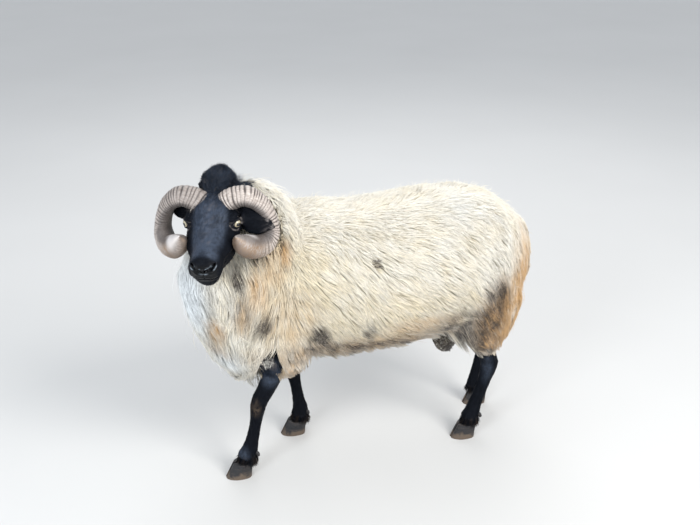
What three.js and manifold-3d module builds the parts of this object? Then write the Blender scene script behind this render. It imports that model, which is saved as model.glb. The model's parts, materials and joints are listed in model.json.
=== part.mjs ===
// A blackfaced hill ram, life size, standing with its head turned to its left.
// Millimetres. +X is forward along the trunk, +Y is the animal's left, +Z is up.
// The origin is on the floor, under the middle of the whole animal.
// Every solid reaches to the tips of the coat, and neighbours are parted by a thin gap.
import * as THREE from "three";
import { mergeVertices } from "three/addons/utils/BufferGeometryUtils.js";
import Module from "manifold-3d";

const wasm = await Module();
wasm.setup();

// Driving dimensions.
const GAP = 0.3; // between any two neighbouring solids
const CURL_GAP = 1.2; // the same round the horns, where the curl is tight
const TRUNK_REAR = -414;
const TRUNK_FRONT = 345;
const TRUNK_WIDEST = 0.46; // share of the way from belly to back where the trunk is widest
const STANCE = 80; // from the midline to the middle of each foot
const CORONET_HEIGHT = 33; // where the hoof meets the pastern
const CLAW_LENGTH = 66;
const CLAW_WIDTH = 23;
const CLAW_LEAN = 12; // how far its top lies behind its sole
const CLEFT = 2; // half the space between the two claws of a foot
const HEAD_PLACE = [436, 145, 721]; // the point midway between the eyes
const HEAD_TURN = 68; // degrees to the left of the trunk's line
const HEAD_NOD = 22; // degrees that the face points below the horizontal
const HEAD_TILT = 1.5; // degrees that lift the left eye
const POLL = -104; // back of the skull, measured forward from the eyes
const NOSE_TIP = 142;
const HEAD_WIDEST = 0.55; // share of the way from jaw to face where the head is widest
const MOUTH_HEIGHT = -42; // the plane of the closed mouth, below the eyes
const EYE_RADIUS = 14;
const EYE_CENTRE = [2, 51, 1];
const HORN_RINGS = 15;
const HORN_FACING = 0.6; // how far its outer face turns forward
const HORN_HEART = [-6, 86, -18]; // the middle of the curl

const V = (x, y, z) => new THREE.Vector3(x, y, z);
const blend = THREE.MathUtils.lerp;
const radians = THREE.MathUtils.degToRad;

// A smooth curve through [place, value] pairs. It never overshoots between two pairs.
function profile(pairs) {
  const rise = (i) => (pairs[i + 1][1] - pairs[i][1]) / (pairs[i + 1][0] - pairs[i][0]);
  const last = pairs.length - 1;
  const slope = pairs.map((_, i) => {
    if (i === 0 || i === last || rise(i - 1) * rise(i) <= 0) return 0;
    return (2 * rise(i - 1) * rise(i)) / (rise(i - 1) + rise(i));
  });
  return (place) => {
    if (place <= pairs[0][0]) return pairs[0][1];
    if (place >= pairs[last][0]) return pairs[last][1];
    const i = pairs.findIndex((pair) => pair[0] > place) - 1;
    const width = pairs[i + 1][0] - pairs[i][0];
    const s = (place - pairs[i][0]) / width;
    return (
      (1 + 2 * s) * (1 - s) ** 2 * pairs[i][1] +
      s * (1 - s) ** 2 * width * slope[i] +
      s * s * (3 - 2 * s) * pairs[i + 1][1] +
      s * s * (s - 1) * width * slope[i + 1]
    );
  };
}

// A closed geometry as a solid, turned right way out.
function solidOf(geometry) {
  const bare = new THREE.BufferGeometry();
  const loose = geometry.index ? geometry.toNonIndexed() : geometry;
  bare.setAttribute("position", loose.getAttribute("position"));
  const merged = mergeVertices(bare, 1e-3);
  const vertProperties = merged.attributes.position.array;
  const triVerts = new Uint32Array(merged.index.array);
  const made = new wasm.Manifold(new wasm.Mesh({ numProp: 3, vertProperties, triVerts }));
  if (made.volume() > 0) return made;
  for (let i = 0; i < triVerts.length; i += 3)
    [triVerts[i + 1], triVerts[i + 2]] = [triVerts[i + 2], triVerts[i + 1]];
  return new wasm.Manifold(new wasm.Mesh({ numProp: 3, vertProperties, triVerts }));
}

// What is left of a solid outside its neighbours, without the crumbs that cutting can leave.
function cutBy(solid, ...neighbours) {
  const left = neighbours.reduce((rest, neighbour) => rest.subtract(neighbour), solid);
  return left.decompose().reduce((a, b) => (a.volume() > b.volume() ? a : b));
}

const joined = (...solids) => solids.reduce((a, b) => a.add(b));

// A round body swept along a curve: a cylinder whose rings are moved onto it.
// lead(place) is the direction that "front" measures. size(place, t) gives the section there:
// front, back and side in mm, box (1 is an ellipse, less is squarer) and taper, the share of
// the width lost at the front and at the back. Both ends are rounded over the lengths in ends,
// which are shares of the whole. grow makes everything larger by that many mm.
function swept({ curve, sides, steps, lead, size, ends = [0.1, 0.1], even = false, grow = 0 }) {
  const rings = new THREE.CylinderGeometry(1, 1, 1, sides, steps);
  const position = rings.attributes.position;
  const place = new THREE.Vector3();
  for (let i = 0; i < position.count; i++) {
    place.fromBufferAttribute(position, i);
    const row = 0.5 - place.y;
    const t = even ? row : (1 - Math.cos(Math.PI * row)) / 2;
    const onAxis = Math.hypot(place.x, place.z) < 0.5;
    const turn = Math.atan2(place.x, place.z);
    const centre = curve.getPointAt(t);
    const tangent = curve.getTangentAt(t);
    const ahead = lead(centre).projectOnPlane(tangent).normalize();
    const across = new THREE.Vector3().crossVectors(tangent, ahead);
    const dome = Math.min(rounded(t / ends[0]), rounded((1 - t) / ends[1]));
    const { front, back, side, box = 1, taper = [0, 0] } = size(centre, t);
    const c = Math.sign(Math.cos(turn)) * Math.abs(Math.cos(turn)) ** box;
    const s = Math.sign(Math.sin(turn)) * Math.abs(Math.sin(turn)) ** box;
    const depth = onAxis ? 0 : (c > 0 ? front : back) * dome + grow;
    const width = onAxis ? 0 : side * dome * (1 - Math.abs(c) * taper[c > 0 ? 0 : 1]) + grow;
    const beyond = row < 1e-6 ? -grow : row > 1 - 1e-6 ? grow : 0;
    place
      .copy(centre)
      .addScaledVector(ahead, c * depth)
      .addScaledVector(across, s * width)
      .addScaledVector(tangent, beyond);
    position.setXYZ(i, place.x, place.y, place.z);
  }
  return solidOf(rings);
}

// The share of full size at a share of the way into a rounded end. A small flat is left at the tip.
const TIP_FLAT = 0.15;

function rounded(share) {
  if (share >= 1) return 1;
  return TIP_FLAT + (1 - TIP_FLAT) * Math.sqrt(1 - (1 - Math.max(share, 0)) ** 2);
}

function evenly(count, from, to) {
  return Array.from({ length: count }, (_, i) => blend(from, to, i / (count - 1)));
}

const ALONG = () => V(1, 0, 0);
const UPWARD = () => V(0, 0, 1);

function route(...points) {
  return new THREE.CatmullRomCurve3(points.map((p) => V(...p)), false, "centripetal");
}

function ellipsoid([x, y, z], [rx, ry, rz], sides = 12) {
  const geometry = new THREE.SphereGeometry(1, sides, Math.ceil(sides * 0.7));
  geometry.scale(rx, ry, rz);
  geometry.translate(x, y, z);
  return solidOf(geometry);
}

// ---- The trunk in its fleece, from rump to shoulders; each outline runs along x.

const backLine = profile([
  [-414, 672],
  [-300, 686],
  [-190, 694],
  [-100, 689],
  [50, 677],
  [130, 687],
  [200, 700],
  [260, 706],
  [345, 690],
]);
const bellyLine = profile([
  [-414, 326],
  [-240, 320],
  [-120, 316],
  [0, 302],
  [110, 298],
  [200, 306],
  [345, 330],
]);
const flankLine = profile([
  [-414, 170],
  [-300, 184],
  [-150, 203],
  [0, 208],
  [120, 202],
  [200, 188],
  [345, 162],
]);

function trunk(grow = 0) {
  const middle = (x) => blend(bellyLine(x), backLine(x), TRUNK_WIDEST);
  const stations = evenly(12, TRUNK_REAR, TRUNK_FRONT);
  return swept({
    curve: route(...stations.map((x) => [x, 0, middle(x)])),
    sides: 22,
    steps: 16,
    lead: UPWARD,
    ends: [0.22, 0.2],
    grow,
    size: ({ x }) => ({
      front: backLine(x) - middle(x),
      back: middle(x) - bellyLine(x),
      side: flankLine(x),
      box: 0.86,
    }),
  });
}

// ---- The neck and its mane: one mass from the tuft on the brisket up to the poll.

const maneFront = profile([
  [240, 16],
  [272, 44],
  [330, 98],
  [404, 150],
  [520, 192],
  [600, 176],
  [680, 118],
  [796, 46],
]);
const maneBack = profile([
  [240, 16],
  [272, 44],
  [330, 90],
  [450, 150],
  [600, 140],
  [700, 98],
  [796, 44],
]);
const maneSide = profile([
  [240, 26],
  [272, 68],
  [330, 122],
  [420, 148],
  [540, 156],
  [620, 140],
  [700, 106],
  [796, 52],
]);
const neckAxis = [
  [384, 8, 236],
  [356, 8, 330],
  [330, 10, 450],
  [318, 24, 560],
  [322, 48, 650],
  [340, 71, 736],
  [360, 88, 796],
];

function neck(grow = 0) {
  return swept({
    curve: route(...neckAxis),
    sides: 18,
    steps: 12,
    lead: () => V(1, 0.25, 0),
    ends: [0.04, 0.1],
    grow,
    size: ({ z }) => ({ front: maneFront(z), back: maneBack(z), side: maneSide(z) }),
  });
}

// ---- The head in its own frame: +X to the nose, +Y to its left, +Z out of the forehead.

const faceLine = profile([
  [-104, 16],
  [-80, 34],
  [-52, 44],
  [-24, 43],
  [8, 34],
  [45, 27],
  [85, 22],
  [115, 16],
  [142, 2],
]);
const jawLine = profile([
  [-104, -50],
  [-80, -72],
  [-45, -90],
  [-5, -93],
  [40, -90],
  [85, -83],
  [115, -83],
  [142, -79],
]);
const cheekLine = profile([
  [-104, 42],
  [-75, 54],
  [-30, 62],
  [2, 61],
  [34, 58],
  [65, 50],
  [92, 39],
  [120, 39],
  [142, 36],
]);
const bridgeTaper = profile([
  [-60, 0.1],
  [0, 0.14],
  [40, 0.42],
  [90, 0.36],
  [142, 0.1],
]);
const chinTaper = profile([
  [-80, 0.3],
  [0, 0.1],
  [50, 0],
  [95, 0.34],
  [142, 0.4],
]);

function skull(grow = 0) {
  const middle = (x) => blend(jawLine(x), faceLine(x), HEAD_WIDEST);
  const stations = evenly(9, POLL, NOSE_TIP);
  const bones = swept({
    curve: route(...stations.map((x) => [x, 0, middle(x)])),
    sides: 20,
    steps: 16,
    lead: UPWARD,
    ends: [0.14, 0.065],
    grow,
    size: ({ x }) => ({
      front: faceLine(x) - middle(x),
      back: middle(x) - jawLine(x),
      side: cheekLine(x),
      box: 0.86,
      taper: [bridgeTaper(x), chinTaper(x)],
    }),
  });
  const brow = (side) => ellipsoid([-4, side * 45, 15], [26 + grow, 15 + grow, 9 + grow], 8);
  return joined(bones, brow(1), brow(-1));
}

function eyeball(side, grow = 0) {
  const [x, y, z] = EYE_CENTRE;
  const r = EYE_RADIUS + grow;
  return ellipsoid([x, side * y, z], [r, r, r]);
}

// A slanting nostril: low beside the midline, rising outwards to its wide end.
function nostril(side) {
  const inner = [NOSE_TIP, side * 5, -22];
  const middle = [NOSE_TIP - 3, side * 14, -15];
  const outer = [NOSE_TIP - 12, side * 25, -2];
  return swept({
    curve: route(inner, middle, outer),
    sides: 6,
    steps: 4,
    lead: ALONG,
    size: (_, t) => ({ front: 9, back: 9, side: blend(3, 5, t) }),
  });
}

// The black wool that stands on the poll, behind and between the horns.
function topknot(grow = 0) {
  return swept({
    curve: route([-64, 4, 10], [-88, 12, 48], [-100, 20, 84]),
    sides: 12,
    steps: 6,
    lead: ALONG,
    ends: [0.2, 0.55],
    grow,
    size: (_, t) => ({ front: blend(30, 18, t), back: blend(44, 22, t), side: blend(64, 34, t) }),
  });
}

// A ridged horn: out from the crown, down behind the ear, then forward and up beside the cheek.
// It is a flattened oval in section, its broad outer face turned somewhat forward.
const hornBreadth = profile([
  [0, 30],
  [0.25, 28],
  [0.5, 26],
  [0.78, 28],
  [0.9, 23],
  [1, 13],
]);
const hornFlatness = profile([
  [0, 0.8],
  [0.25, 0.74],
  [0.45, 0.66],
  [0.75, 0.95],
  [1, 1],
]);
const hornPath = [
  [-36, 10, 8],
  [-46, 40, 29],
  [-51, 74, 34],
  [-50, 104, 12],
  [-42, 121, -21],
  [-26, 125, -50],
  [-1, 114, -63],
  [23, 93, -53],
  [43, 74, -28],
  [58, 62, 10],
];
const RIDGE = 0.035; // how far each ring stands out, as a share of the breadth

function horn(side, grow = 0) {
  const heart = V(HORN_HEART[0], side * HORN_HEART[1], HORN_HEART[2]);
  return swept({
    curve: route(...hornPath.map(([x, y, z]) => [x, side * y, z])),
    sides: 10,
    steps: 2 * HORN_RINGS,
    even: true,
    lead: (place) => place.clone().sub(heart).normalize().add(V(HORN_FACING, 0, 0)),
    ends: [0.01, 0.05],
    grow,
    size: (_, t) => {
      const ridge = 1 + RIDGE * Math.cos(2 * Math.PI * HORN_RINGS * t) * (1 - t);
      const broad = hornBreadth(t) * ridge;
      return { front: broad * hornFlatness(t), back: broad * hornFlatness(t), side: broad };
    },
  });
}

// A leaf-shaped ear, fuller below. The left one comes forward through the curl of its horn,
// the right one is held back.
const earAbove = profile([
  [0, 15],
  [0.35, 24],
  [0.7, 18],
  [1, 6],
]);
const earBelow = profile([
  [0, 16],
  [0.3, 38],
  [0.6, 40],
  [0.8, 26],
  [1, 6],
]);
const ears = {
  left: { path: [[-36, 48, 8], [-24, 92, -6], [-8, 140, -24]], upperEdge: [-0.6, 0, 0.8] },
  right: { path: [[-40, -46, 6], [-58, -90, -2], [-84, -128, -16]], upperEdge: [0, 0, 1] },
};

function ear(flank, grow = 0) {
  const { path, upperEdge } = ears[flank];
  return swept({
    curve: route(...path),
    sides: 10,
    steps: 8,
    lead: () => V(...upperEdge),
    ends: [0.1, 0.25],
    grow,
    size: (_, t) => ({ front: earAbove(t), back: earBelow(t), side: blend(7, 4, t) }),
  });
}

// ---- The legs. Each woolly upper part hangs from the trunk, and the shank comes out below it.

const foreDepth = profile([
  [31, 26],
  [58, 26],
  [85, 18],
  [150, 15],
  [178, 19],
  [205, 22],
  [232, 23],
  [300, 30],
]);
const foreWidth = profile([
  [31, 24],
  [58, 22],
  [85, 16],
  [150, 14],
  [178, 18],
  [205, 20],
  [232, 19],
  [300, 24],
]);
const hindDepth = profile([
  [31, 26],
  [62, 25],
  [90, 19],
  [150, 18],
  [185, 22],
  [214, 26],
  [240, 25],
  [300, 34],
]);
const hindWidth = profile([
  [31, 24],
  [60, 22],
  [90, 15],
  [150, 15],
  [190, 19],
  [214, 20],
  [240, 19],
  [300, 26],
]);

// Each leg's middle line from inside the wool down to the hoof, where its hoof stands, and the
// middle line of the woolly part above.
const legs = {
  fore_left: {
    route: [
      [288, 84, 300],
      [308, 82, 245],
      [330, 80, 205],
      [338, 80, 160],
      [352, 80, 95],
      [364, 80, 58],
      [380, 80, 31],
    ],
    foot: [390, STANCE],
    wool: [[212, 84, 460], [252, 96, 370], [268, 98, 272]],
  },
  fore_right: {
    route: [
      [206, -84, 300],
      [206, -82, 245],
      [202, -80, 205],
      [194, -80, 160],
      [184, -80, 95],
      [180, -80, 58],
      [192, -80, 31],
    ],
    foot: [203, -STANCE],
    wool: [[176, -84, 460], [196, -96, 370], [200, -98, 272]],
  },
  hind_left: {
    route: [
      [-262, 92, 300],
      [-290, 86, 245],
      [-303, 82, 213],
      [-292, 80, 165],
      [-271, 80, 105],
      [-255, 80, 60],
      [-241, 80, 31],
    ],
    foot: [-232, STANCE],
    wool: [[-292, 84, 470], [-276, 102, 360], [-266, 99, 248]],
  },
  hind_right: {
    route: [
      [-322, -92, 300],
      [-352, -86, 245],
      [-367, -82, 213],
      [-360, -80, 165],
      [-347, -80, 105],
      [-341, -80, 60],
      [-342, -80, 31],
    ],
    foot: [-338, -STANCE],
    wool: [[-300, -84, 470], [-310, -102, 360], [-324, -99, 250]],
  },
};

function shank(name, grow = 0) {
  const [depth, width] = name.startsWith("fore") ? [foreDepth, foreWidth] : [hindDepth, hindWidth];
  return swept({
    curve: route(...legs[name].route),
    sides: 9,
    steps: 12,
    even: true,
    lead: ALONG,
    ends: [0.08, 0.03],
    grow,
    size: ({ z }) => ({ front: depth(z), back: depth(z), side: width(z) }),
  });
}

function woollyPart(name, grow = 0) {
  const fore = name.startsWith("fore");
  const [upper, lower] = fore ? [92, 46] : [116, 46]; // half the depth from front to back
  const depth = (t) => blend(upper, lower, t);
  return swept({
    curve: route(...legs[name].wool),
    sides: 10,
    steps: 6,
    lead: ALONG,
    ends: [0.2, 0.22],
    grow,
    size: (_, t) => ({ front: depth(t), back: depth(t), side: blend(90, 42, t) }),
  });
}

// One claw of a cloven hoof, flat on the floor and sloping up to the coronet.
function claw([x, y], outward) {
  const half = CLAW_LENGTH / 2;
  const height = CORONET_HEIGHT + 6; // the pastern sits in the top of it
  const sole = new THREE.Shape();
  sole.moveTo(-half, 0);
  sole.bezierCurveTo(-half, CLAW_WIDTH, -half / 2, CLAW_WIDTH, 0, CLAW_WIDTH);
  sole.bezierCurveTo(half / 2, CLAW_WIDTH, half, CLAW_WIDTH / 2, half, 0);
  sole.closePath();
  const settings = { depth: height, bevelEnabled: false, curveSegments: 6 };
  const block = new THREE.ExtrudeGeometry(sole, settings);
  const position = block.attributes.position;
  for (let i = 0; i < position.count; i++) {
    const rise = position.getZ(i) / height;
    const along = position.getX(i) * (1 - 0.25 * rise) - CLAW_LEAN * rise;
    const out = CLEFT + position.getY(i) * (1 - 0.1 * rise);
    position.setXYZ(i, x + along, y + outward * out, position.getZ(i));
  }
  return solidOf(block);
}

function tail() {
  return swept({
    curve: route([-360, 0, 612], [-404, 0, 566], [-420, 0, 490], [-418, 0, 392]),
    sides: 8,
    steps: 6,
    lead: () => V(-1, 0, 0),
    ends: [0.15, 0.3],
    size: (_, t) => ({ front: 22, back: 22, side: blend(52, 36, t) }),
  });
}

function scrotum() {
  return swept({
    curve: route([-200, 0, 350], [-204, 0, 226]),
    sides: 10,
    steps: 6,
    lead: ALONG,
    ends: [0.2, 0.5],
    size: (_, t) => ({ front: blend(34, 42, t), back: blend(34, 42, t), side: blend(40, 48, t) }),
  });
}

// ---- The scene graph.

const tones = {
  fleece: { color: 0xe9dfcb, roughness: 0.95, metalness: 0 },
  hair: { color: 0x1c1d22, roughness: 0.7, metalness: 0 },
  horn: { color: 0x9c8672, roughness: 0.6, metalness: 0 },
  hoof: { color: 0x5d4d3c, roughness: 0.6, metalness: 0 },
  eye: { color: 0xb9a877, roughness: 0.1, metalness: 0 },
};

function nodeOf(name, solid, tone) {
  const { vertProperties, triVerts } = solid.getMesh();
  const geometry = new THREE.BufferGeometry();
  geometry.setAttribute("position", new THREE.BufferAttribute(new Float32Array(vertProperties), 3));
  geometry.setIndex(new THREE.BufferAttribute(triVerts, 1));
  const node = new THREE.Mesh(geometry, new THREE.MeshStandardMaterial(tones[tone]));
  node.name = name;
  return node;
}

const BELOW_MOUTH = [0, 0, -1];
const flanks = { left: 1, right: -1 };

function headGroup() {
  const group = new THREE.Group();
  group.position.set(...HEAD_PLACE);
  group.rotation.set(radians(HEAD_TILT), radians(HEAD_NOD), radians(HEAD_TURN), "ZYX");
  const whole = cutBy(skull(), eyeball(1, GAP), eyeball(-1, GAP), nostril(1), nostril(-1));
  const upper = whole.trimByPlane([0, 0, 1], MOUTH_HEIGHT + GAP / 2);
  const lower = whole.trimByPlane(BELOW_MOUTH, -MOUTH_HEIGHT + GAP / 2);
  group.add(nodeOf("head", cutBy(upper), "hair"), nodeOf("jaw", cutBy(lower), "hair"));
  const horns = [horn(1, CURL_GAP), horn(-1, CURL_GAP)];
  group.add(nodeOf("topknot", cutBy(topknot(), skull(GAP), ...horns), "hair"));
  for (const [name, side] of Object.entries(flanks)) {
    const leaf = cutBy(ear(name), skull(GAP), topknot(GAP), ...horns);
    group.add(nodeOf(`eye_${name}`, eyeball(side), "eye"));
    group.add(nodeOf(`horn_${name}`, cutBy(horn(side), skull(GAP)), "horn"));
    group.add(nodeOf(`ear_${name}`, leaf, "hair"));
  }
  return group;
}

function bodyGroup(aroundNeck) {
  const group = new THREE.Group();
  const trunkSpace = trunk(GAP);
  const neckSpace = neck(GAP);
  group.add(nodeOf("trunk", trunk(), "fleece"));
  group.add(nodeOf("neck", cutBy(neck(), trunkSpace, ...aroundNeck), "fleece"));
  for (const [name, leg] of Object.entries(legs)) {
    const side = Math.sign(leg.foot[1]);
    const [part, flank] = name.split("_");
    const wool = cutBy(woollyPart(name), trunkSpace, neckSpace);
    group.add(nodeOf(`${part}_upper_${flank}`, wool, "fleece"));
    const bare = cutBy(shank(name), woollyPart(name, GAP), trunkSpace, neckSpace);
    group.add(nodeOf(`${part}_shank_${flank}`, bare, "hair"));
    for (const [which, outward] of [["outer", side], ["inner", -side]]) {
      const half = cutBy(claw(leg.foot, outward), shank(name, GAP));
      group.add(nodeOf(`${part}_claw_${flank}_${which}`, half, "hoof"));
    }
  }
  group.add(nodeOf("tail", cutBy(tail(), trunkSpace), "fleece"));
  group.add(nodeOf("scrotum", cutBy(scrotum(), trunkSpace), "fleece"));
  return group;
}

const head = headGroup();
head.updateMatrix();
const horns = [horn(1, CURL_GAP), horn(-1, CURL_GAP)];
const headParts = [skull(GAP), topknot(GAP), ear("left", GAP), ear("right", GAP), ...horns];
const ram = new THREE.Group();
ram.add(head, bodyGroup(headParts.map((part) => part.transform(head.matrix.elements))));

const extent = new THREE.Box3().setFromObject(ram, true);
ram.position.set(-(extent.min.x + extent.max.x) / 2, -(extent.min.y + extent.max.y) / 2, 0);
const model = new THREE.Group();
model.add(ram);

export default model;
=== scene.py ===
"""A blackfaced hill ram, life size, dressed in skin, fleece, horn, eyes and hooves round its frame.

Metres. +X is forward along the trunk, +Y is the animal's left, +Z is up. The head has a frame of
its own, in millimetres from the point midway between the eyes: +X to the nose, +Y to its left,
+Z out of the forehead.
"""
import json
import math

import bpy
import numpy as np
from mathutils import Matrix, Vector
from mathutils.bvhtree import BVHTree
from mathutils.kdtree import KDTree

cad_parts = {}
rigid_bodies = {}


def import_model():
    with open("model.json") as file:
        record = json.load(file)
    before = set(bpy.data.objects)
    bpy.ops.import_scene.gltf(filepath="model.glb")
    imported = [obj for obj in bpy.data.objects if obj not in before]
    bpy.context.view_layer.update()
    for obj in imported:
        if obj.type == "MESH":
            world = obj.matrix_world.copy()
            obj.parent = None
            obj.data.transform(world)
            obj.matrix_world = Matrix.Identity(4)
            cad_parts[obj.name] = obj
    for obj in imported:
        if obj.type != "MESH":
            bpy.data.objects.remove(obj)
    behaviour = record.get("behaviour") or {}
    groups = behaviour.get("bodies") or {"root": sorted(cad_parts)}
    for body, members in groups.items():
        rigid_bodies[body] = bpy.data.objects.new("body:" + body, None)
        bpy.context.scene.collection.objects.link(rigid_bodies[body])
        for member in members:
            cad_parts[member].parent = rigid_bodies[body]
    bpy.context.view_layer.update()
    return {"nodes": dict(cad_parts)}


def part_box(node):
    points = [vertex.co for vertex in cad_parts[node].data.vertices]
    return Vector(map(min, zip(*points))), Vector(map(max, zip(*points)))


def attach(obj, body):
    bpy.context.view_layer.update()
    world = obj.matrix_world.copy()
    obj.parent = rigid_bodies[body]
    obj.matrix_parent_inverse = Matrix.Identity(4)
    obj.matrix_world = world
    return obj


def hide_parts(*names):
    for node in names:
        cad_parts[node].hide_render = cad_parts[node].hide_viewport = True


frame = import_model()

bl_info = {
    "name": "Blackfaced Hill Ram",
    "version": (1, 0, 0),
    "blender": (4, 5, 0),
    "location": "3D View > Sidebar > Hill Ram",
    "description": "Dresses the frame of a horned hill ram in skin, fleece, horn, eyes and hooves",
    "category": "Add Mesh",
}

MM = 0.001
SIDES = {"left": 1, "right": -1}
LEGS = ("fore_left", "fore_right", "hind_left", "hind_right")
SHANKS = tuple(leg.replace("_", "_shank_") for leg in LEGS)
UPPERS = tuple(leg.replace("_", "_upper_") for leg in LEGS)

# How deep the coat lies on each part of the flesh, in millimetres.
COAT_DEPTH = {
    "trunk": 15, "neck": 19, "tail": 10, "scrotum": 5, "topknot": 16,
    "head": 1.2, "jaw": 1.2, "ear_left": 0.8, "ear_right": 0.8,
    **{name: 12 for name in UPPERS},
    **{name: 1.2 for name in SHANKS},
}
FLESH = tuple(COAT_DEPTH)
HAIRY = ("head", "jaw", "ear_left", "ear_right", *SHANKS)  # short black hair, no wool
DARK = (*HAIRY, "topknot")
HEAD_HEIGHT = 0.44  # short hair above it is the head's, and below it the legs'


# ---- Sizes and colours that a user may change.

def length(name, description, default, **more):
    """A length property in metres."""
    return bpy.props.FloatProperty(
        name=name, description=description, default=default, unit="LENGTH", precision=4, **more)


def tone(name, description, default):
    """A colour property."""
    return bpy.props.FloatVectorProperty(
        name=name, description=description, default=default, subtype="COLOR", size=3, min=0, max=1)


class RamSkinSizes(bpy.types.PropertyGroup):
    """Sizes of the skin"""
    voxel: length("Skin grain", "Spacing of the skin's points before the face is refined", 0.003)
    lid_reach: length("Lid radius", "How far the lids stand from the eye's centre", 0.0163)
    seal: length("Seal", "How far the flesh is swelled so that neighbours fuse", 0.0006)


class RamCoatSizes(bpy.types.PropertyGroup):
    """Number and size of the coat's locks"""
    body_locks: bpy.props.IntProperty(
        name="Fleece locks", description="Number of locks in the fleece", default=96000, min=100)
    face_hairs: bpy.props.IntProperty(
        name="Short hairs", description="Number of short tufts on face, ears and legs",
        default=15000, min=100)
    lock_length: length("Lock length", "Length of a lock on the flank", 0.052)
    mane_length: length("Mane length", "Length of a lock on the neck and chest", 0.08)
    lock_width: length("Lock width", "Width of a lock at its middle", 0.0019)
    seed: bpy.props.IntProperty(name="Seed", description="Seed of the coat's chance", default=11)


class RamColours(bpy.types.PropertyGroup):
    """Colours of wool, hair, horn, eyes and hooves, and of the light and shade painted on them"""
    wool: tone("Wool", "Clean wool", (0.89, 0.865, 0.79))
    wool_warm: tone("Warm wool", "Wool yellowed by grease", (0.83, 0.73, 0.53))
    # Painted shade: the blue-white that wool takes in shade under the sky, laid on as colour.
    wool_cool: tone("Cool wool", "The whitest wool, of breast and brisket", (0.84, 0.89, 0.92))
    tan: tone("Tan wool", "Wool stained by earth", (0.54, 0.33, 0.15))
    # Also the colour of shade painted into creases and under the belly and the horns.
    soil: tone("Soiled wool", "Wool dark with dung and mud", (0.055, 0.043, 0.036))
    hair: tone("Black hair", "Hair of the face and legs", (0.0032, 0.0036, 0.0052))
    # Painted sheen: the blue light that black hair reflects, laid on as colour.
    bloom: tone("Hair bloom", "Cool light on the tips of black hair", (0.036, 0.050, 0.078))
    # Also the grey of the highlight painted on the near foreleg.
    grey_hair: tone("Grey hair", "Grey hair on brow and crown", (0.16, 0.145, 0.14))
    horn: tone("Horn", "Pale crests of the horns", (0.40, 0.335, 0.295))
    horn_light: tone("Light horn", "Palest streaks of the horns", (0.68, 0.61, 0.56))
    # The grooves' dark colour is partly the horn's own and partly painted shade in the recesses.
    horn_groove: tone("Horn grooves", "Dark grooves between the horn's rings", (0.058, 0.045, 0.039))
    horn_amber: tone("Amber horn", "Horn worn smooth towards the tip", (0.28, 0.175, 0.095))
    # Painted shade: brown laid on the downward faces of the horn's end.
    horn_under: tone("Horn underside", "Brown underside of the horn's end", (0.105, 0.070, 0.050))
    # Painted shade: the colour laid on the horn's face towards its curl and on the right horn's upper part.
    horn_inner: tone("Inner horn", "The horn's inner face", (0.055, 0.047, 0.046))
    iris: tone("Iris", "Pale iris", (0.42, 0.36, 0.235))
    hoof: tone("Hoof", "Bare hoof", (0.010, 0.011, 0.014))
    mud: tone("Mud", "Mud on the hooves", (0.115, 0.085, 0.062))


class RamStageSizes(bpy.types.PropertyGroup):
    """Where the camera stands and what it sees"""
    camera_place: bpy.props.FloatVectorProperty(
        name="Camera place", description="Where the camera stands", size=3,
        default=(0.772908, 2.313366, 1.54), subtype="XYZ", unit="LENGTH")
    camera_azimuth: bpy.props.FloatProperty(
        name="Camera heading", description="Heading of the camera's axis from +X",
        default=math.atan2(-0.9505, -0.3107), subtype="ANGLE")
    camera_fall: bpy.props.FloatProperty(
        name="Camera fall", description="How far the camera's axis points below the level",
        default=math.radians(22.5), subtype="ANGLE")
    camera_lens: bpy.props.FloatProperty(
        name="Lens", description="Focal length on a 36 mm sensor, in mm", default=54.1)


# ---- Small helpers.

def made(name):
    """The object of that name."""
    return bpy.data.objects[name]


def alone(*objects):
    """Selects only these objects, the last one active."""
    if bpy.context.object and bpy.context.object.mode != "OBJECT":
        bpy.ops.object.mode_set(mode="OBJECT")
    bpy.ops.object.select_all(action="DESELECT")
    for piece in objects:
        piece.select_set(True)
        bpy.context.view_layer.objects.active = piece


def edit_whole(operator, **settings):
    """Runs an edit mode operator on every face of the selected pieces."""
    bpy.ops.object.mode_set(mode="EDIT")
    bpy.ops.mesh.select_all(action="SELECT")
    operator(**settings)
    bpy.ops.object.mode_set(mode="OBJECT")


def finished(piece, material, slot, *nodes):
    """Gives a piece its material, hangs it on the root body and hides the CAD nodes it stands for. slot is
    not used.
    """
    piece.data.materials.append(material)
    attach(piece, "root")
    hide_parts(*nodes)


def smooth(low, high, x):
    """0 below low, 1 above high and an even ease between them."""
    t = np.clip((x - low) / (high - low), 0, 1)
    return t * t * (3 - 2 * t)


def unit(vectors):
    """Each row at length one."""
    return vectors / np.maximum(np.linalg.norm(vectors, axis=-1, keepdims=True), 1e-12)


def dot(a, b):
    """The dot product of each pair of rows, as a column."""
    return (a * b).sum(-1, keepdims=True)


def curve_through(pairs):
    """A smooth function through (place, value) pairs that never overshoots."""
    x, y = (np.array(column, float) for column in zip(*pairs))
    rise = np.diff(y) / np.diff(x)
    slope = np.zeros_like(y)
    same = rise[:-1] * rise[1:] > 0
    slope[1:-1][same] = (2 * rise[:-1] * rise[1:])[same] / (rise[:-1] + rise[1:])[same]

    def value(place):
        place = np.clip(place, x[0], x[-1])
        i = np.clip(np.searchsorted(x, place, side="right") - 1, 0, len(x) - 2)
        width = x[i + 1] - x[i]
        s = (place - x[i]) / width
        return ((1 + 2 * s) * (1 - s) ** 2 * y[i] + s * (1 - s) ** 2 * width * slope[i]
                + s * s * (3 - 2 * s) * y[i + 1] + s * s * (s - 1) * width * slope[i + 1])
    return value


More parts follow.
